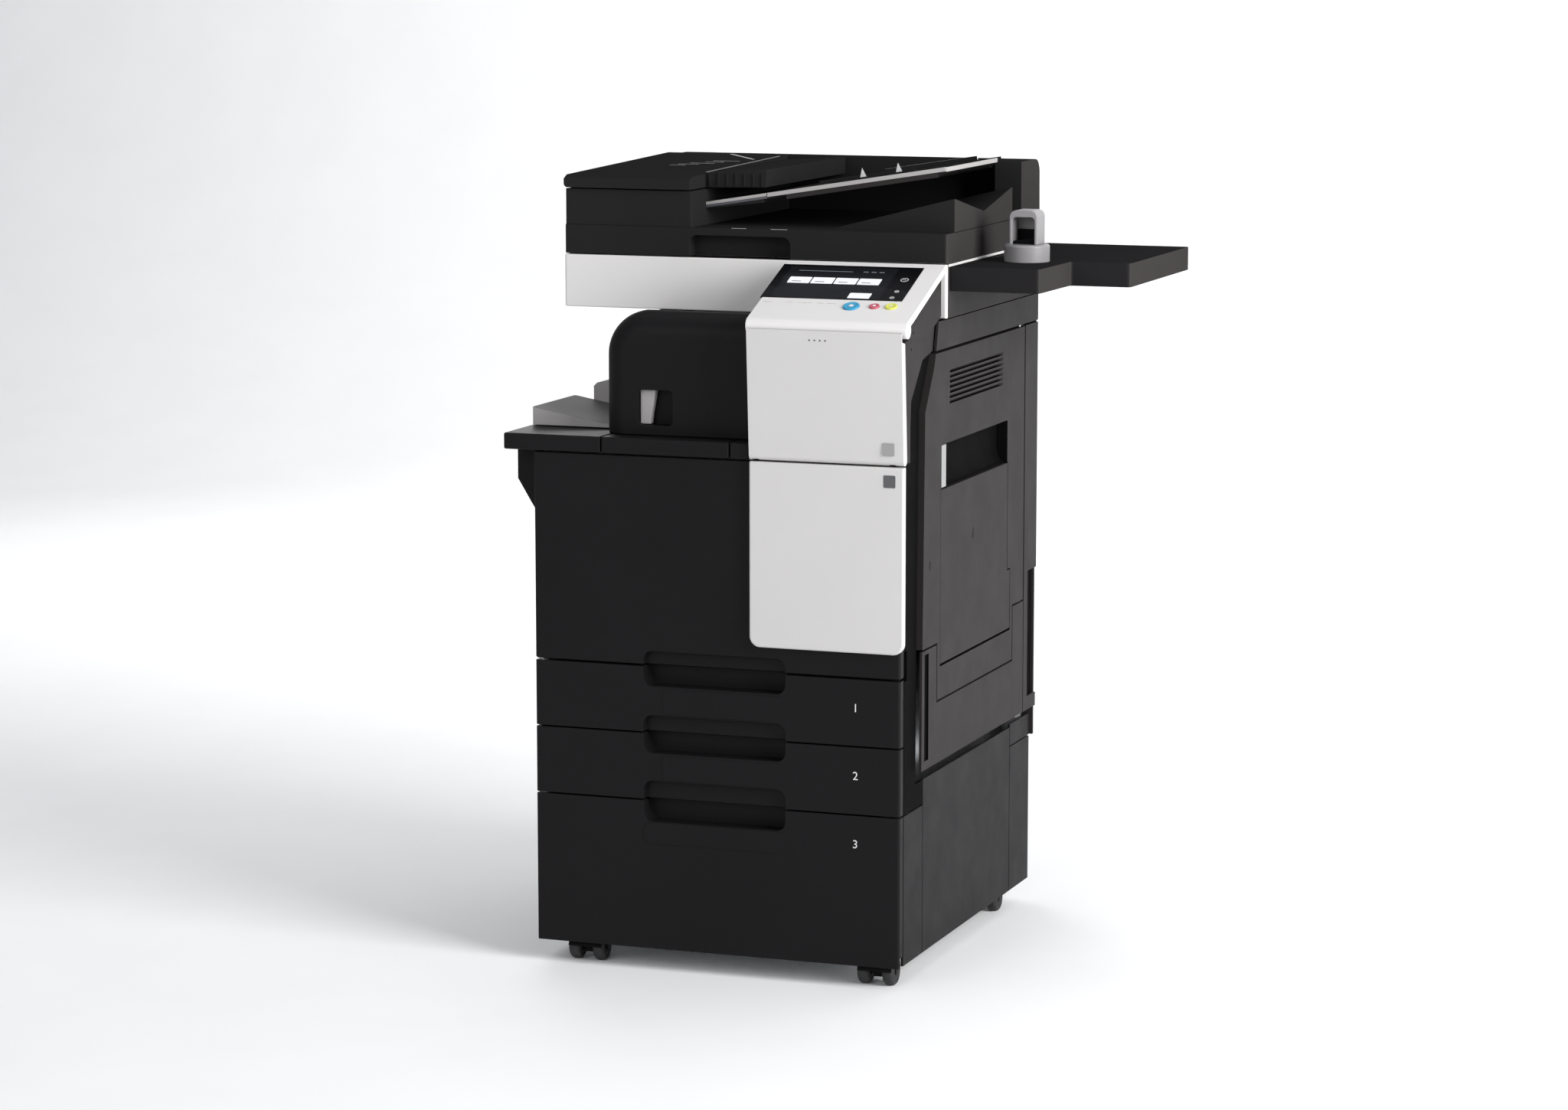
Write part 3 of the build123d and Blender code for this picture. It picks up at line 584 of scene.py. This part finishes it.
coverFinish = {  # the finish and the width of the softened edge, in millimetres
    "cabinet_panels": ("cabinetGrey", 1.2),
    "left_cover": ("frontBlack", 1.0),
    "rear_cover": ("sideGrey", 0.6),
    "exit_ledge": ("frontBlack", 2.2),
    "scanner_front_cover": ("coverWhite", 2.0),
    "front_door": ("frontBlack", 1.5),
    "front_door_trim": ("doorWhite", 1.5),
    "upper_front_door": ("doorWhite", 2.5),
    "panel_case": ("coverWhite", 2.5),
    "bypass_tray": ("sideGrey", 1.0),
    "adf_lid": ("feederBlack", 2.5),
    "finisher_housing": ("frontBlack", 1.5),
    "document_tray": ("feederBlack", 1.2),
    "power_inlet": ("deepBlack", 0.6),
    "scan_carriage": ("deepBlack", 1.0),
    "drum_units": ("deepBlack", 1.5),
    "fuser_unit": ("tonerGrey", 1.0),
    "toner_cartridges": ("tonerGrey", 1.0),
}
for number in (1, 2, 3):
    coverFinish[f"drawer_{number}_front"] = ("frontBlack", 1.8)
    coverFinish[f"drawer_{number}_tray"] = ("darkSteel", 0.5)
for node, (finishName, width) in coverFinish.items():
    dressed(node, finish[finishName], width)
# the near-black finish here is painted shade on the pillar's side, in the slot and in the rear recess
dressed("right_covers", finish["shadowBlack"], 1.0, extra=[finish["sideGrey"], finish["shadowBlack"]],
        paint=rightCoverPaint)
# the bypass window and the vent pocket get the near-black finish as painted shade
dressed("right_door", finish["sideGrey"], 1.0, extra=[finish["shadowBlack"]], paint=doorPaint)
dressed("scanner_housing", finish["sideGrey"], 1.2, extra=[finish["shaftSteel"]], paint=scannerPaint)
dressed("finger_reader", finish["readerGrey"], 1.2, extra=[finish["panelGlass"]], paint=readerPaint)
dressed("adf_base", finish["feederBlack"], 1.5, extra=[finish["padWhite"], finish["paintedLitSide"]],
        paint=feederPaint)
dressed("working_table", finish["tableBlack"], 3.0, extra=[finish["paintedLitSide"]], paint=tablePaint)
dressed("output_tray", finish["trayGrey"], 2.5, extra=[finish["trayTop"]], paint=trayPaint)
for side in ("front", "back"):
    node = "document_guide_" + side
    dressed(node, finish["feederBlack"], 0.5, extra=[finish["markLight"]], paint=guidePaint)
print("covers dressed")

carried = {  # nodes that keep their own mesh and only get a finish
    "cabinet_frame": "zincSteel",
    "drawer_rails": "zincSteel",
    "body_frame": "zincSteel",
    "platen_glass": "clearGlass",
    "adf_hinge_brackets": "darkSteel",
    "transfer_belt": "beltFilm",
    "touch_glass": "panelGlass",
    "feed_roller": "rollerRubber",
}
for number in (1, 2, 3):
    carried[f"drawer_{number}_lift_plate"] = "zincSteel"
for number in (1, 2):
    for side in ("front", "back"):
        carried[f"drawer_{number}_guide_{side}"] = "trayGrey"
for node, finishName in carried.items():
    data = frame["nodes"][node].data
    data.materials.clear()
    data.materials.append(finish[finishName])
print("carried nodes painted:", len(carried))

# operation panel
keyAxis = Vector(joints["start_key_press"]["axis"])
panelUp = -keyAxis.normalized()
panelRise = Vector((0, panelUp.z, -panelUp.y))
glassPoints = [vertex.co for vertex in frame["nodes"]["touch_glass"].data.vertices]
glassLevel = max(point.dot(panelUp) for point in glassPoints)
glassFront = min(point.dot(panelRise) for point in glassPoints)
glassBack = max(point.dot(panelRise) for point in glassPoints)
glassLeft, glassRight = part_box("touch_glass")[0].x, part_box("touch_glass")[1].x


def panelSpot(across, up, height):  # millimetres from the glass's near left corner, above its face
    return (Vector((glassLeft + across / 1000, 0, 0)) + panelRise * (glassFront + up / 1000)
            + panelUp * (glassLevel + height / 1000))


def addPanelPlate(work, x0, x1, u0, u1, radius, low, high):
    outline = [panelSpot(x, u, low) for x, u in roundedOutline(x0, x1, u0, u1, radius, 4)]
    addPrism(work, outline, panelUp * (high - low) / 1000)


panelMarks = {  # across and up from the glass's near left corner
    "screen": (14, 178, 2, 103), "lowTile": (130, 163, 4, 21), "header": (30, 112, 88, 90),
    "tileWidth": 33.4, "tileTall": 20.0, "tileGap": 2.0, "tileLeft": 24.0, "tileUp": 48.0, "tileCount": 4,
    "strokeIn": 6.0, "strokeLong": 14.0, "strokeUp": (53, 55),
    "topMarks": (128, 140, 152), "topMarkUp": 88.0, "topMarkLong": 8.0, "topMarkTall": 3.0,
    "icons": ((197, 68, 6.0), (197, 30, 3.4), (196, 10, 3.4)),
    "print": ((10, 12), (44, 10), (62, 5), (70, 5), (78, 5), (92, 8), (106, 14)), "printUp": (-14.2, -13.2),
}


def makePanelMarks():
    screen = panelMarks["screen"]
    mesh = meshFrom("panel_screen", lambda work: addPanelPlate(work, *screen, 2, 0.02, 0.08))
    pieceFrom(mesh, "panel_screen", "operation_panel", "panel_glass", finish["screenGlass"])

    def tiles(work):
        for index in range(panelMarks["tileCount"]):
            x = panelMarks["tileLeft"] + index * (panelMarks["tileWidth"] + panelMarks["tileGap"])
            up = panelMarks["tileUp"]
            addPanelPlate(work, x, x + panelMarks["tileWidth"], up, up + panelMarks["tileTall"], 1.5, 0.1,
                          0.25)
        addPanelPlate(work, *panelMarks["lowTile"], 1.5, 0.1, 0.25)

    pieceFrom(meshFrom("panel_tiles", tiles), "panel_tiles", "operation_panel", "panel_glass",
              finish["litWhite"])

    def dimMarks(work):
        addPanelPlate(work, *panelMarks["header"], 0.8, 0.1, 0.2)
        for index in range(panelMarks["tileCount"]):
            x = panelMarks["tileLeft"] + index * (panelMarks["tileWidth"] + panelMarks["tileGap"])
            x += panelMarks["strokeIn"]
            addPanelPlate(work, x, x + panelMarks["strokeLong"], *panelMarks["strokeUp"], 0.6, 0.26, 0.32)
        for x in panelMarks["topMarks"]:
            up = panelMarks["topMarkUp"]
            addPanelPlate(work, x, x + panelMarks["topMarkLong"], up, up + panelMarks["topMarkTall"], 1, 0.1,
                          0.2)

    pieceFrom(meshFrom("panel_dim_marks", dimMarks), "panel_dim_marks", "operation_panel", "panel_glass",
              finish["litDim"])

    def icons(work):
        for x, up, radius in panelMarks["icons"]:
            addLathe(work, [(radius, 0), (radius, 0.15), (radius - 1.1, 0.15), (radius - 1.1, 0)],
                     panelSpot(x, up, 0.02), panelUp, 28)
            addPanelPlate(work, x - radius * 0.4, x + radius * 0.4, up - 0.6, up + 0.6, 0.5, 0.02, 0.2)

    pieceFrom(meshFrom("panel_icons", icons), "panel_icons", "operation_panel", "panel_glass",
              finish["markLight"])

    def printed(work):  # short grey printed strokes on the white lip, left of the keys
        for x, wide in panelMarks["print"]:
            addPanelPlate(work, x, x + wide, *panelMarks["printUp"], 0.4, -0.72, -0.6)

    pieceFrom(meshFrom("panel_print", printed), "panel_print", "operation_panel", "white_plastic",
              finish["trayGrey"])


def makeKey(node, finishName, petals):
    low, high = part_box(node)
    centre = (low + high) / 2
    points = [vertex.co for vertex in frame["nodes"][node].data.vertices]
    bottom = min(point.dot(panelUp) for point in points)
    top = max(point.dot(panelUp) for point in points)
    radius = (high.x - low.x) * 500
    base = centre + panelUp * (bottom - centre.dot(panelUp))
    tall = (top - bottom) * 1000
    profile = [(0, 0), (radius, 0), (radius, tall - 1.2), (radius - 0.4, tall - 0.5),
               (radius - 1.4, tall - 0.1), (radius - 2.2, tall - 0.25), (radius - 3.0, tall - 0.45),
               (radius * 0.4, tall - 0.75), (0, tall - 0.85)]  # a rounded rim round a shallow dish
    mesh = meshFrom(node + "_cap", lambda work: addLathe(work, profile, base, panelUp, 48))
    cap = smoothed(pieceFrom(mesh, node + "_cap", bodyOf[node], slotOf[node], finish[finishName]), 50)
    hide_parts(node)

    def sign(work):
        centrePoint = base + panelUp * (tall - 0.7) / 1000
        outline = []
        for step in range(petals):
            angle = 2 * math.pi * step / petals + math.pi / 2
            outline.append(centrePoint + (Vector((1, 0, 0)) * math.cos(angle) + panelRise * math.sin(angle))
                           * radius * 0.34 / 1000)
        addPrism(work, outline, panelUp * 0.45 / 1000)

    pieceFrom(meshFrom(node + "_sign", sign), node + "_sign", bodyOf[node], slotOf[node],
              finish["coverWhite"])


makePanelMarks()
makeKey("start_key", "blueKey", 4)
makeKey("stop_key", "redKey", 8)
makeKey("reset_key", "yellowKey", 3)
print("operation panel made")

# drawer fronts


def numberPiece(text, centre, tall, body, slotName):
    curve = bpy.data.curves.new("number_" + text, "FONT")
    curve.body = text
    curve.size = tall / 0.7 / 1000
    curve.extrude = 0.0001
    curve.align_x = "CENTER"
    curve.align_y = "CENTER"
    holder = bpy.data.objects.new("number_" + text, curve)
    scene.collection.objects.link(holder)
    depsgraph = bpy.context.evaluated_depsgraph_get()
    mesh = bpy.data.meshes.new_from_object(holder.evaluated_get(depsgraph), depsgraph=depsgraph)
    bpy.data.objects.remove(holder)
    mesh.transform(Matrix.Translation(centre) @ Matrix.Rotation(math.radians(90), 4, "X"))
    mesh.materials.clear()
    return pieceFrom(mesh, "drawer_number_" + text, body, slotName, finish["markLight"])


drawerMarks = {"numberX": 215.0, "numberTall": 12.0, "numberDrop": 42.0, "padDrop": 32.0}
drawerPads = {  # left, right, lift above the front's lower edge, how far it stands out, corner radius
    1: (-82, 100, 27, 0.7, 2), 2: (-82, 100, 30, 0.7, 2), 3: (-112, 108, 157, 0.9, 13),
}
for number in (1, 2, 3):
    low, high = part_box(f"drawer_{number}_front")
    bottom, top = low.z * 1000, high.z * 1000
    centre = spot(drawerMarks["numberX"], -0.05, top - drawerMarks["numberDrop"])
    numberPiece(str(number), centre, drawerMarks["numberTall"], f"drawer_{number}", "black_plastic")
    left, right, padLow, proud, radius = drawerPads[number]
    frontPlate(f"drawer_{number}_pad", left, right, bottom + padLow, top - drawerMarks["padDrop"], -proud, 1,
               radius,
               f"drawer_{number}", finish["frontBlack"])
print("drawer fronts marked")

# status lights on the upper door
lightRow = {"x": 152.0, "z": 940.0, "y": -22.1, "pitch": 8.0, "count": 4, "radius": 1.3}


def makeLights():
    def dome(work):
        radius = lightRow["radius"]
        profile = [(radius, 0), (radius, 0.2), (radius * 0.7, 0.5), (0, 0.6)]
        addLathe(work, profile, (0, 0, 0), (0, -1, 0), 16)

    start = spot(lightRow["x"], lightRow["y"], lightRow["z"])
    repeated("status_lights", meshFrom("status_dome", dome), finish["tonerGrey"], start,
             (lightRow["pitch"] / 1000, 0, 0), lightRow["count"], "upper_front_door")


makeLights()
doorMarks = {  # left, lower edge, face and finish of the square mark by the edge of each door
    "upper_door_mark": (259, 779, -14.6, "upper_front_door", "stripGrey"),
    "lower_door_mark": (260, 733, -12.4, "front_door", "markGrey"),
}
doorMarkSide = 18
for name, (left, bottom, face, door, finishName) in doorMarks.items():
    frontPlate(name, left, left + doorMarkSide, bottom, bottom + doorMarkSide, face, -10, 2, door,
               finish[finishName], 0.2)

# right side: vent slots, bypass window, marks
ventSlots = {"front": 200.0, "back": 462.0, "bottom": 831.5, "tall": 4.0, "pitch": 7.5, "count": 7,
             "floor": 280.2,
             "face": 289.7, "ramp": 9.0}


def makeVent():
    floor, face, bottom = ventSlots["floor"], ventSlots["face"], ventSlots["bottom"]

    def ramps(work):  # a ramp closes each end of a slot, and a thin sill runs along its floor
        for end, inward in ((ventSlots["front"], 1), (ventSlots["back"], -1)):
            reach = end + inward * ventSlots["ramp"]
            outline = [spot(floor, end, bottom), spot(face, end, bottom),
                       spot(face - 1, end + inward * 4, bottom), spot(floor, reach, bottom)]
            addPrism(work, outline, Vector((0, 0, ventSlots["tall"] / 1000)))
        back = [spot(floor, y, bottom) for y in (ventSlots["front"], ventSlots["back"])]
        sill = Vector((0.004, 0, 0.0006))
        addPrism(work, [back[0], back[1], back[1] + sill, back[0] + sill], Vector((0, 0, 0.0008)))

    repeated("vent_ramps", meshFrom("vent_ramp", ramps), finish["sideGrey"], (0, 0, 0),
             (0, 0, ventSlots["pitch"] / 1000), ventSlots["count"], "right_door")


makeVent()


def sideBox(name, x0, x1, y0, y1, z0, z1, body, material, width=0.5):
    outline = [spot(x0, y0, z0), spot(x1, y0, z0), spot(x1, y1, z0), spot(x0, y1, z0)]
    mesh = meshFrom(name, lambda work: addPrism(work, outline, Vector((0, 0, (z1 - z0) / 1000))))
    piece = pieceFrom(mesh, name, None, None, material)
    softEdges(piece, width, 2)
    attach(piece, body)
    return piece


sideBox("bypass_strip", 273, 288.5, 164, 189, 711.5, 773.5, "right_door",
        finish["stripGrey"])


scoopShape = {"ends": (189.5, 487.5), "lip": 286.0, "deep": 13.5, "low": 711.5, "rise": 26.0, "steps": 10,
              "wall": ((272.3, 774), (272.1, 774), (272.1, 710.5), (286, 710.5))}


def makeBypassScoop():
    # the curved inner wall behind the bypass grip, in the near-black finish as painted shade
    def scoop(work):
        section = []
        for step in range(scoopShape["steps"] + 1):
            angle = math.radians(90 * step / scoopShape["steps"])
            section.append((scoopShape["lip"] - scoopShape["deep"] * math.sin(angle),
                            scoopShape["low"] + scoopShape["rise"] * (1 - math.cos(angle))))
        section.extend(scoopShape["wall"])
        rows = [[work.verts.new(spot(x, y, z)) for y in scoopShape["ends"]] for x, z in section]
        for low, high in zip(rows, rows[1:] + rows[:1]):
            work.faces.new((low[0], low[1], high[1], high[0]))
        work.faces.new([row[0] for row in rows])
        work.faces.new([row[1] for row in reversed(rows)])
    piece = pieceFrom(meshFrom("bypass_scoop", scoop), "bypass_scoop", "right_door", "charcoal_plastic",
                      finish["shadowBlack"])
    smoothed(piece)


makeBypassScoop()


def makeSideMark(name, y, z, tall, body):
    # a small raised pointer on a side cover
    outline = [spot(289.6, y - tall * 0.35, z), spot(289.6, y + tall * 0.35, z), spot(289.6, y, z + tall)]
    mesh = meshFrom(name, lambda work: addPrism(work, outline, Vector((0.0008, 0, 0))))
    pieceFrom(mesh, name, body, "charcoal_plastic", finish["cabinetGrey"])


makeSideMark("bypass_pointer", 318, 618, 16, "bypass_tray")
makeSideMark("door_pointer", 112, 600, 12, "right_door")
sideBox("scanner_side_trim", 290.5, 293.2, 183, 610, 1031.6, 1035, "machine",
        finish["coverWhite"], 0.3)
print("right side made")

# document feeder
feedEdge = {"front": 237.0, "tableLeft": -102.4, "tableRight": -7.2, "trayLeft": -6.0, "lowBand": 24.0,
            "trayRight": 270.0, "endBack": 488.8, "highlightTall": 4.6, "fullTall": 8.4, "barTall": 6.2, "endTall": 6.6}
mouthRibs = {"left": -98.0, "right": -15.0, "face": 239.0, "low": 1136.5, "tall": 20.0, "wide": 2.4,
             "count": 7}
lidStreak = {"from": (-196.0, 585.0), "to": (-128.0, 500.0), "wide": 5.0}
lidMarks = ((-214, 372, 26), (-208, 392, 34), (-196, 412, 40), (-180, 436, 30), (-176, 458, 44))
lidMarkWide = 3
lidSlope = {"front": 184.0, "level": 1152.5, "rise": 0.02536}


def lidTop(y):  # the height of the sloping lid at this depth
    return lidSlope["level"] + (y - lidSlope["front"]) * lidSlope["rise"]


def edgeTop(x):  # the upper line of the feed table's front edge, at this place across
    hinge = joints["document_tray_hinge"]["pos_m"]
    return 1128.2 + (x - (hinge[0] - middleX) * 1000) * math.tan(traySlope)


def edgeBar(work, x0, x1, above, below, proud=1.2):
    front = feedEdge["front"] - proud
    outline = [spot(x0, front, edgeTop(x0) - below), spot(x1, front, edgeTop(x1) - below),
               spot(x1, front, edgeTop(x1) - above), spot(x0, front, edgeTop(x0) - above)]
    return addPrism(work, outline, Vector((0, (proud + 2.6) / 1000, 0)))


def rimPiece(name, build, body, material):
    piece = pieceFrom(meshFrom(name, build), name, None, None, material)
    softEdges(piece, 0.4, 2)
    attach(piece, body)


def makeFeederDetail():
    def rib(work):
        wide, tall = mouthRibs["wide"], mouthRibs["tall"]
        outline = [(0, 0, 0), (wide, 0, 0), (wide, 0, tall), (0, 0, tall)]
        addPrism(work, [Vector(point) / 1000 for point in outline], Vector((0, 0.003, 0)))
    pitch = (mouthRibs["right"] - mouthRibs["left"]) / (mouthRibs["count"] - 1) / 1000
    start = spot(mouthRibs["left"], mouthRibs["face"] - 2.4, mouthRibs["low"])
    repeated("mouth_ribs", meshFrom("mouth_rib", rib), finish["feederBlack"], start, (pitch, 0, 0),
             mouthRibs["count"],
             "feeder_lid")

    # a pale line along the lid's raised right edge: painted highlight
    def lidTrim(work):
        start, end = spot(-104.2, mouthRibs["face"] + 1, 1156.1), spot(-104.2, 556, 1162.3)
        wide, tall = Vector((0.0022, 0, 0)), Vector((0, 0, 0.0009))
        addPrism(work, [start, start + wide, start + wide + tall, start + tall], end - start)
    pieceFrom(meshFrom("lid_trim", lidTrim), "lid_trim", "feeder_lid", "feeder_plastic", finish["markGrey"])

    def lidPrint(work):  # low raised pictogram strokes on the lid
        for x, y, long in lidMarks:
            outline = [spot(cx, cy, lidTop(cy) - 0.2) for cx, cy in
                       roundedOutline(x, x + long, y, y + lidMarkWide, 1.2, 3)]
            addPrism(work, outline, Vector((0, 0, 0.0006)))
    pieceFrom(meshFrom("lid_marks", lidPrint), "lid_marks", "feeder_lid", "feeder_plastic",
              finish["markGrey"])

    def streak(work):  # one plain pale stroke in place of the printed label
        (x0, y0), (x1, y1) = lidStreak["from"], lidStreak["to"]
        outline = [spot(x, y, lidTop(y) - 0.15) for x, y in
                   ((x0, y0), (x1, y1), (x1 + lidStreak["wide"], y1), (x0 + lidStreak["wide"], y0))]
        addPrism(work, outline, Vector((0, 0, 0.0004)))
    pieceFrom(meshFrom("lid_label", streak), "lid_label", "feeder_lid", "feeder_plastic", finish["trayGrey"])

    # the pale bars along the front edges of the feed table and the tray are painted highlight on the rounded edge,
    # with dimmer bars of it below
    rimPiece("tray_edge", lambda work: edgeBar(work, feedEdge["trayLeft"], feedEdge["trayRight"], 0,
                                               feedEdge["barTall"]),
             "document_tray", finish["trayGrey"])

    def trayEnd(work):  # the tray's right end, a pale plate of painted highlight, stepped back a little
        x, y0, y1 = feedEdge["trayRight"], feedEdge["front"] + 2.4, feedEdge["endBack"]
        top = edgeTop(x) - 0.4
        bottom = top - feedEdge["endTall"]
        outline = [spot(x - 0.4, y, z) for y, z in ((y0, top), (y1, top), (y1, bottom), (y0, bottom))]
        addPrism(work, outline, Vector((0.0012, 0, 0)))
    rimPiece("tray_end", trayEnd, "document_tray", finish["trayGrey"])

    rimPiece("tray_edge_low", lambda work: edgeBar(work, feedEdge["lowBand"], feedEdge["trayRight"] - 12,
                                                   feedEdge["barTall"] + 0.2, 13.4, 0.4),
             "document_tray", finish["sideGrey"])
    rimPiece("table_edge", lambda work: edgeBar(work, feedEdge["tableLeft"], feedEdge["tableRight"], 0,
                                                feedEdge["highlightTall"]),
             "document_feeder", finish["trayGrey"])
    rimPiece("table_edge_low", lambda work: edgeBar(work, feedEdge["tableLeft"], feedEdge["tableRight"],
                                                    feedEdge["highlightTall"] + 0.1, feedEdge["fullTall"], 0.8),
             "document_feeder", finish["tonerGrey"])

    def baseMarks(work):
        for x0, x1 in ((-41, -18), (20, 46)):
            outline = [spot(x, y, 1079.05) for x, y in roundedOutline(x0, x1, 178.5, 181.5, 1, 2)]
            addPrism(work, outline, Vector((0, 0, 0.0002)))
    pieceFrom(meshFrom("base_marks", baseMarks), "base_marks", "document_feeder", "feeder_plastic",
              finish["markLight"])


makeFeederDetail()


def makePanelSideMarks():  # two dark hinge caps on the cover beside the operation panel
    def caps(work):
        for x, z in ((285.9, 926), (288.9, 950)):
            addLathe(work, [(0, 0), (1.9, 0), (1.9, 0.35), (1.4, 0.6), (0, 0.6)], spot(x, 33, z), (1, 0, 0),
                     20)
    piece = pieceFrom(meshFrom("side_caps", caps), "side_caps", "machine", "charcoal_plastic",
                      finish["deepBlack"])
    smoothed(piece)


makePanelSideMarks()
sideBox("feeder_seam", 291.9, 292.15, 213, 542, 1078.5, 1079.5, "document_feeder",
        finish["shadowBlack"], 0.05)


# the dark window low at the back of the reader's opening
frontPlate("reader_screen", 352.6, 385.4, 1057.3, 1078, 328, 334.2, 2, "machine",
           finish["panelGlass"], 0.3)
print("document feeder made")

# finisher window: the release lever behind it


lever = {"depth": 50.5, "thick": 12.0,
         "outline": ((-129.4, 853), (-106, 853), (-109, 834), (-112, 818), (-114, 803), (-129.4, 803))}


def makeLever():
    outline = [spot(x, lever["depth"], z) for x, z in lever["outline"]]
    mesh = meshFrom("release_lever", lambda work: addPrism(work, outline,
                                                           Vector((0, -lever["thick"] / 1000, 0))))
    piece = pieceFrom(mesh, "release_lever", None, None, finish["trayGrey"])
    softEdges(piece, 1.2, 3)
    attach(piece, "finisher")


makeLever()

# casters
hood = {"inner": 20.7, "outer": 22.0, "half": 26.0, "from": 8.0, "to": 172.0, "steps": 18}


def wheelProfile(radius, width):
    # hub, groove and tread from the middle outwards, as radius and depth below the face; both faces alike
    side = [(0, 2.2), (7, 2.2), (8, 0.6), (10.5, 0.6), (11.5, 1.6), (13.2, 1.6), (14.2, 0.3), (15.5, 0),
            (radius - 3, 0.4), (radius - 0.8, 2.6), (radius, 5)]
    half = width / 2
    return [(out, deep - half) for out, deep in side] + [(out, half - deep) for out, deep in reversed(side)]


def makeCaster(place):
    wheelNode, forkNode = "caster_wheels_" + place, "caster_fork_" + place
    low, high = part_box(wheelNode)
    middle = (low + high) / 2
    width = 17.0
    offset = ((high.x - low.x) * 1000 - width) / 2

    def wheels(work):
        for side in (-1, 1):
            centre = middle + Vector((side * offset / 1000, 0, 0))
            addLathe(work, wheelProfile((high.z - low.z) * 500, width), centre, (1, 0, 0), 40)
    name = "wheel_pair_" + place
    piece = smoothed(pieceFrom(meshFrom(name, wheels), name, bodyOf[wheelNode], "wheel_rubber",
                               finish["wheelRubber"]), 40)
    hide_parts(wheelNode)

    def fender(work):
        sections = []
        for step in range(hood["steps"] + 1):
            angle = math.radians(hood["from"] + (hood["to"] - hood["from"]) * step / hood["steps"])
            ring = []
            for radius, side in ((hood["inner"], -1), (hood["outer"], -1), (hood["outer"], 1),
                                 (hood["inner"], 1)):
                ring.append(work.verts.new(middle + Vector((side * hood["half"], radius * math.cos(angle),
                                                            radius * math.sin(angle))) / 1000))
            sections.append(ring)
        for lowRing, highRing in zip(sections, sections[1:]):
            for corner in range(4):
                after = (corner + 1) % 4
                work.faces.new((lowRing[corner], lowRing[after], highRing[after], highRing[corner]))
        work.faces.new(sections[0])
        work.faces.new(list(reversed(sections[-1])))
    name = "caster_hood_" + place
    smoothed(pieceFrom(meshFrom(name, fender), name, bodyOf[forkNode], slotOf[forkNode], finish["deepBlack"]))
    dressed(forkNode, finish["deepBlack"], 0.6)


for place in ("front_left", "front_right", "back_left", "back_right"):
    makeCaster(place)
print("casters made")

# back: louvres and screws
rearSlots = {"rows": 8, "pitch": 14.0, "low": 560.0, "groups": ((-200.0, 0.0), (40.0, 180.0)), "wide": 140.0,
             "section": ((649.5, -1), (642, 6.5), (641.2, 5.8), (648.7, -1.8))}


def makeLouvres():
    for index, (left, lift) in enumerate(rearSlots["groups"]):
        def slat(work):
            outline = [spot(left, y, rearSlots["low"] + lift + up) for y, up in rearSlots["section"]]
            addPrism(work, outline, Vector((rearSlots["wide"] / 1000, 0, 0)))
        repeated(f"rear_louvres_{index + 1}", meshFrom("rear_slat", slat), finish["deepBlack"], (0, 0, 0),
                 (0, 0, rearSlots["pitch"] / 1000), rearSlots["rows"], "machine")


rearScrews = {"left": -270.0, "face": 650.0, "pitch": 270.0, "rows": (275.0, 520.0, 760.0, 940.0),
              "profile": ((0, -8), (2, -8), (2, 0), (4, 0), (4, 0.9), (3.4, 1.7), (2.4, 2.1), (0, 2.2)),
              "cross": ((1.7, 0.4), (0.4, 1.7))}


def makeScrews():
    def screw(work):
        addLathe(work, rearScrews["profile"], (0, 0, 0), (0, 1, 0), 20)
        for x, z in rearScrews["cross"]:
            points = [Vector(point) / 1000 for point in ((-x, 2.12, -z), (x, 2.12, -z), (x, 2.12, z),
                                                         (-x, 2.12, z))]
            addPrism(work, points, Vector((0, 0.00012, 0)))

    template = meshFrom("screw_head", screw)
    for index, z in enumerate(rearScrews["rows"]):
        start = spot(rearScrews["left"], rearScrews["face"], z)
        piece = repeated(f"cover_screws_{index + 1}", template, finish["zincSteel"], start,
                         (rearScrews["pitch"] / 1000, 0, 0), 3, "machine")
        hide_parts("cover_screws")


makeLouvres()
makeScrews()

# toner caps behind the upper door


tonerCaps = {"left": 62, "pitch": 46, "wide": 38, "bottom": 806, "top": 904, "front": 28.5, "back": 33,
             "radius": 8}


def makeTonerCaps():
    for index, name in enumerate(("yellow", "magenta", "cyan", "black")):
        left = tonerCaps["left"] + index * tonerCaps["pitch"]
        material = finish["deepBlack"] if name == "black" else finish[name + "Cap"]
        frontPlate("toner_cap_" + name, left, left + tonerCaps["wide"], tonerCaps["bottom"], tonerCaps["top"],
                   tonerCaps["front"], tonerCaps["back"], tonerCaps["radius"], "machine",
                   material, 1.2)


makeTonerCaps()
print("inner marks made")
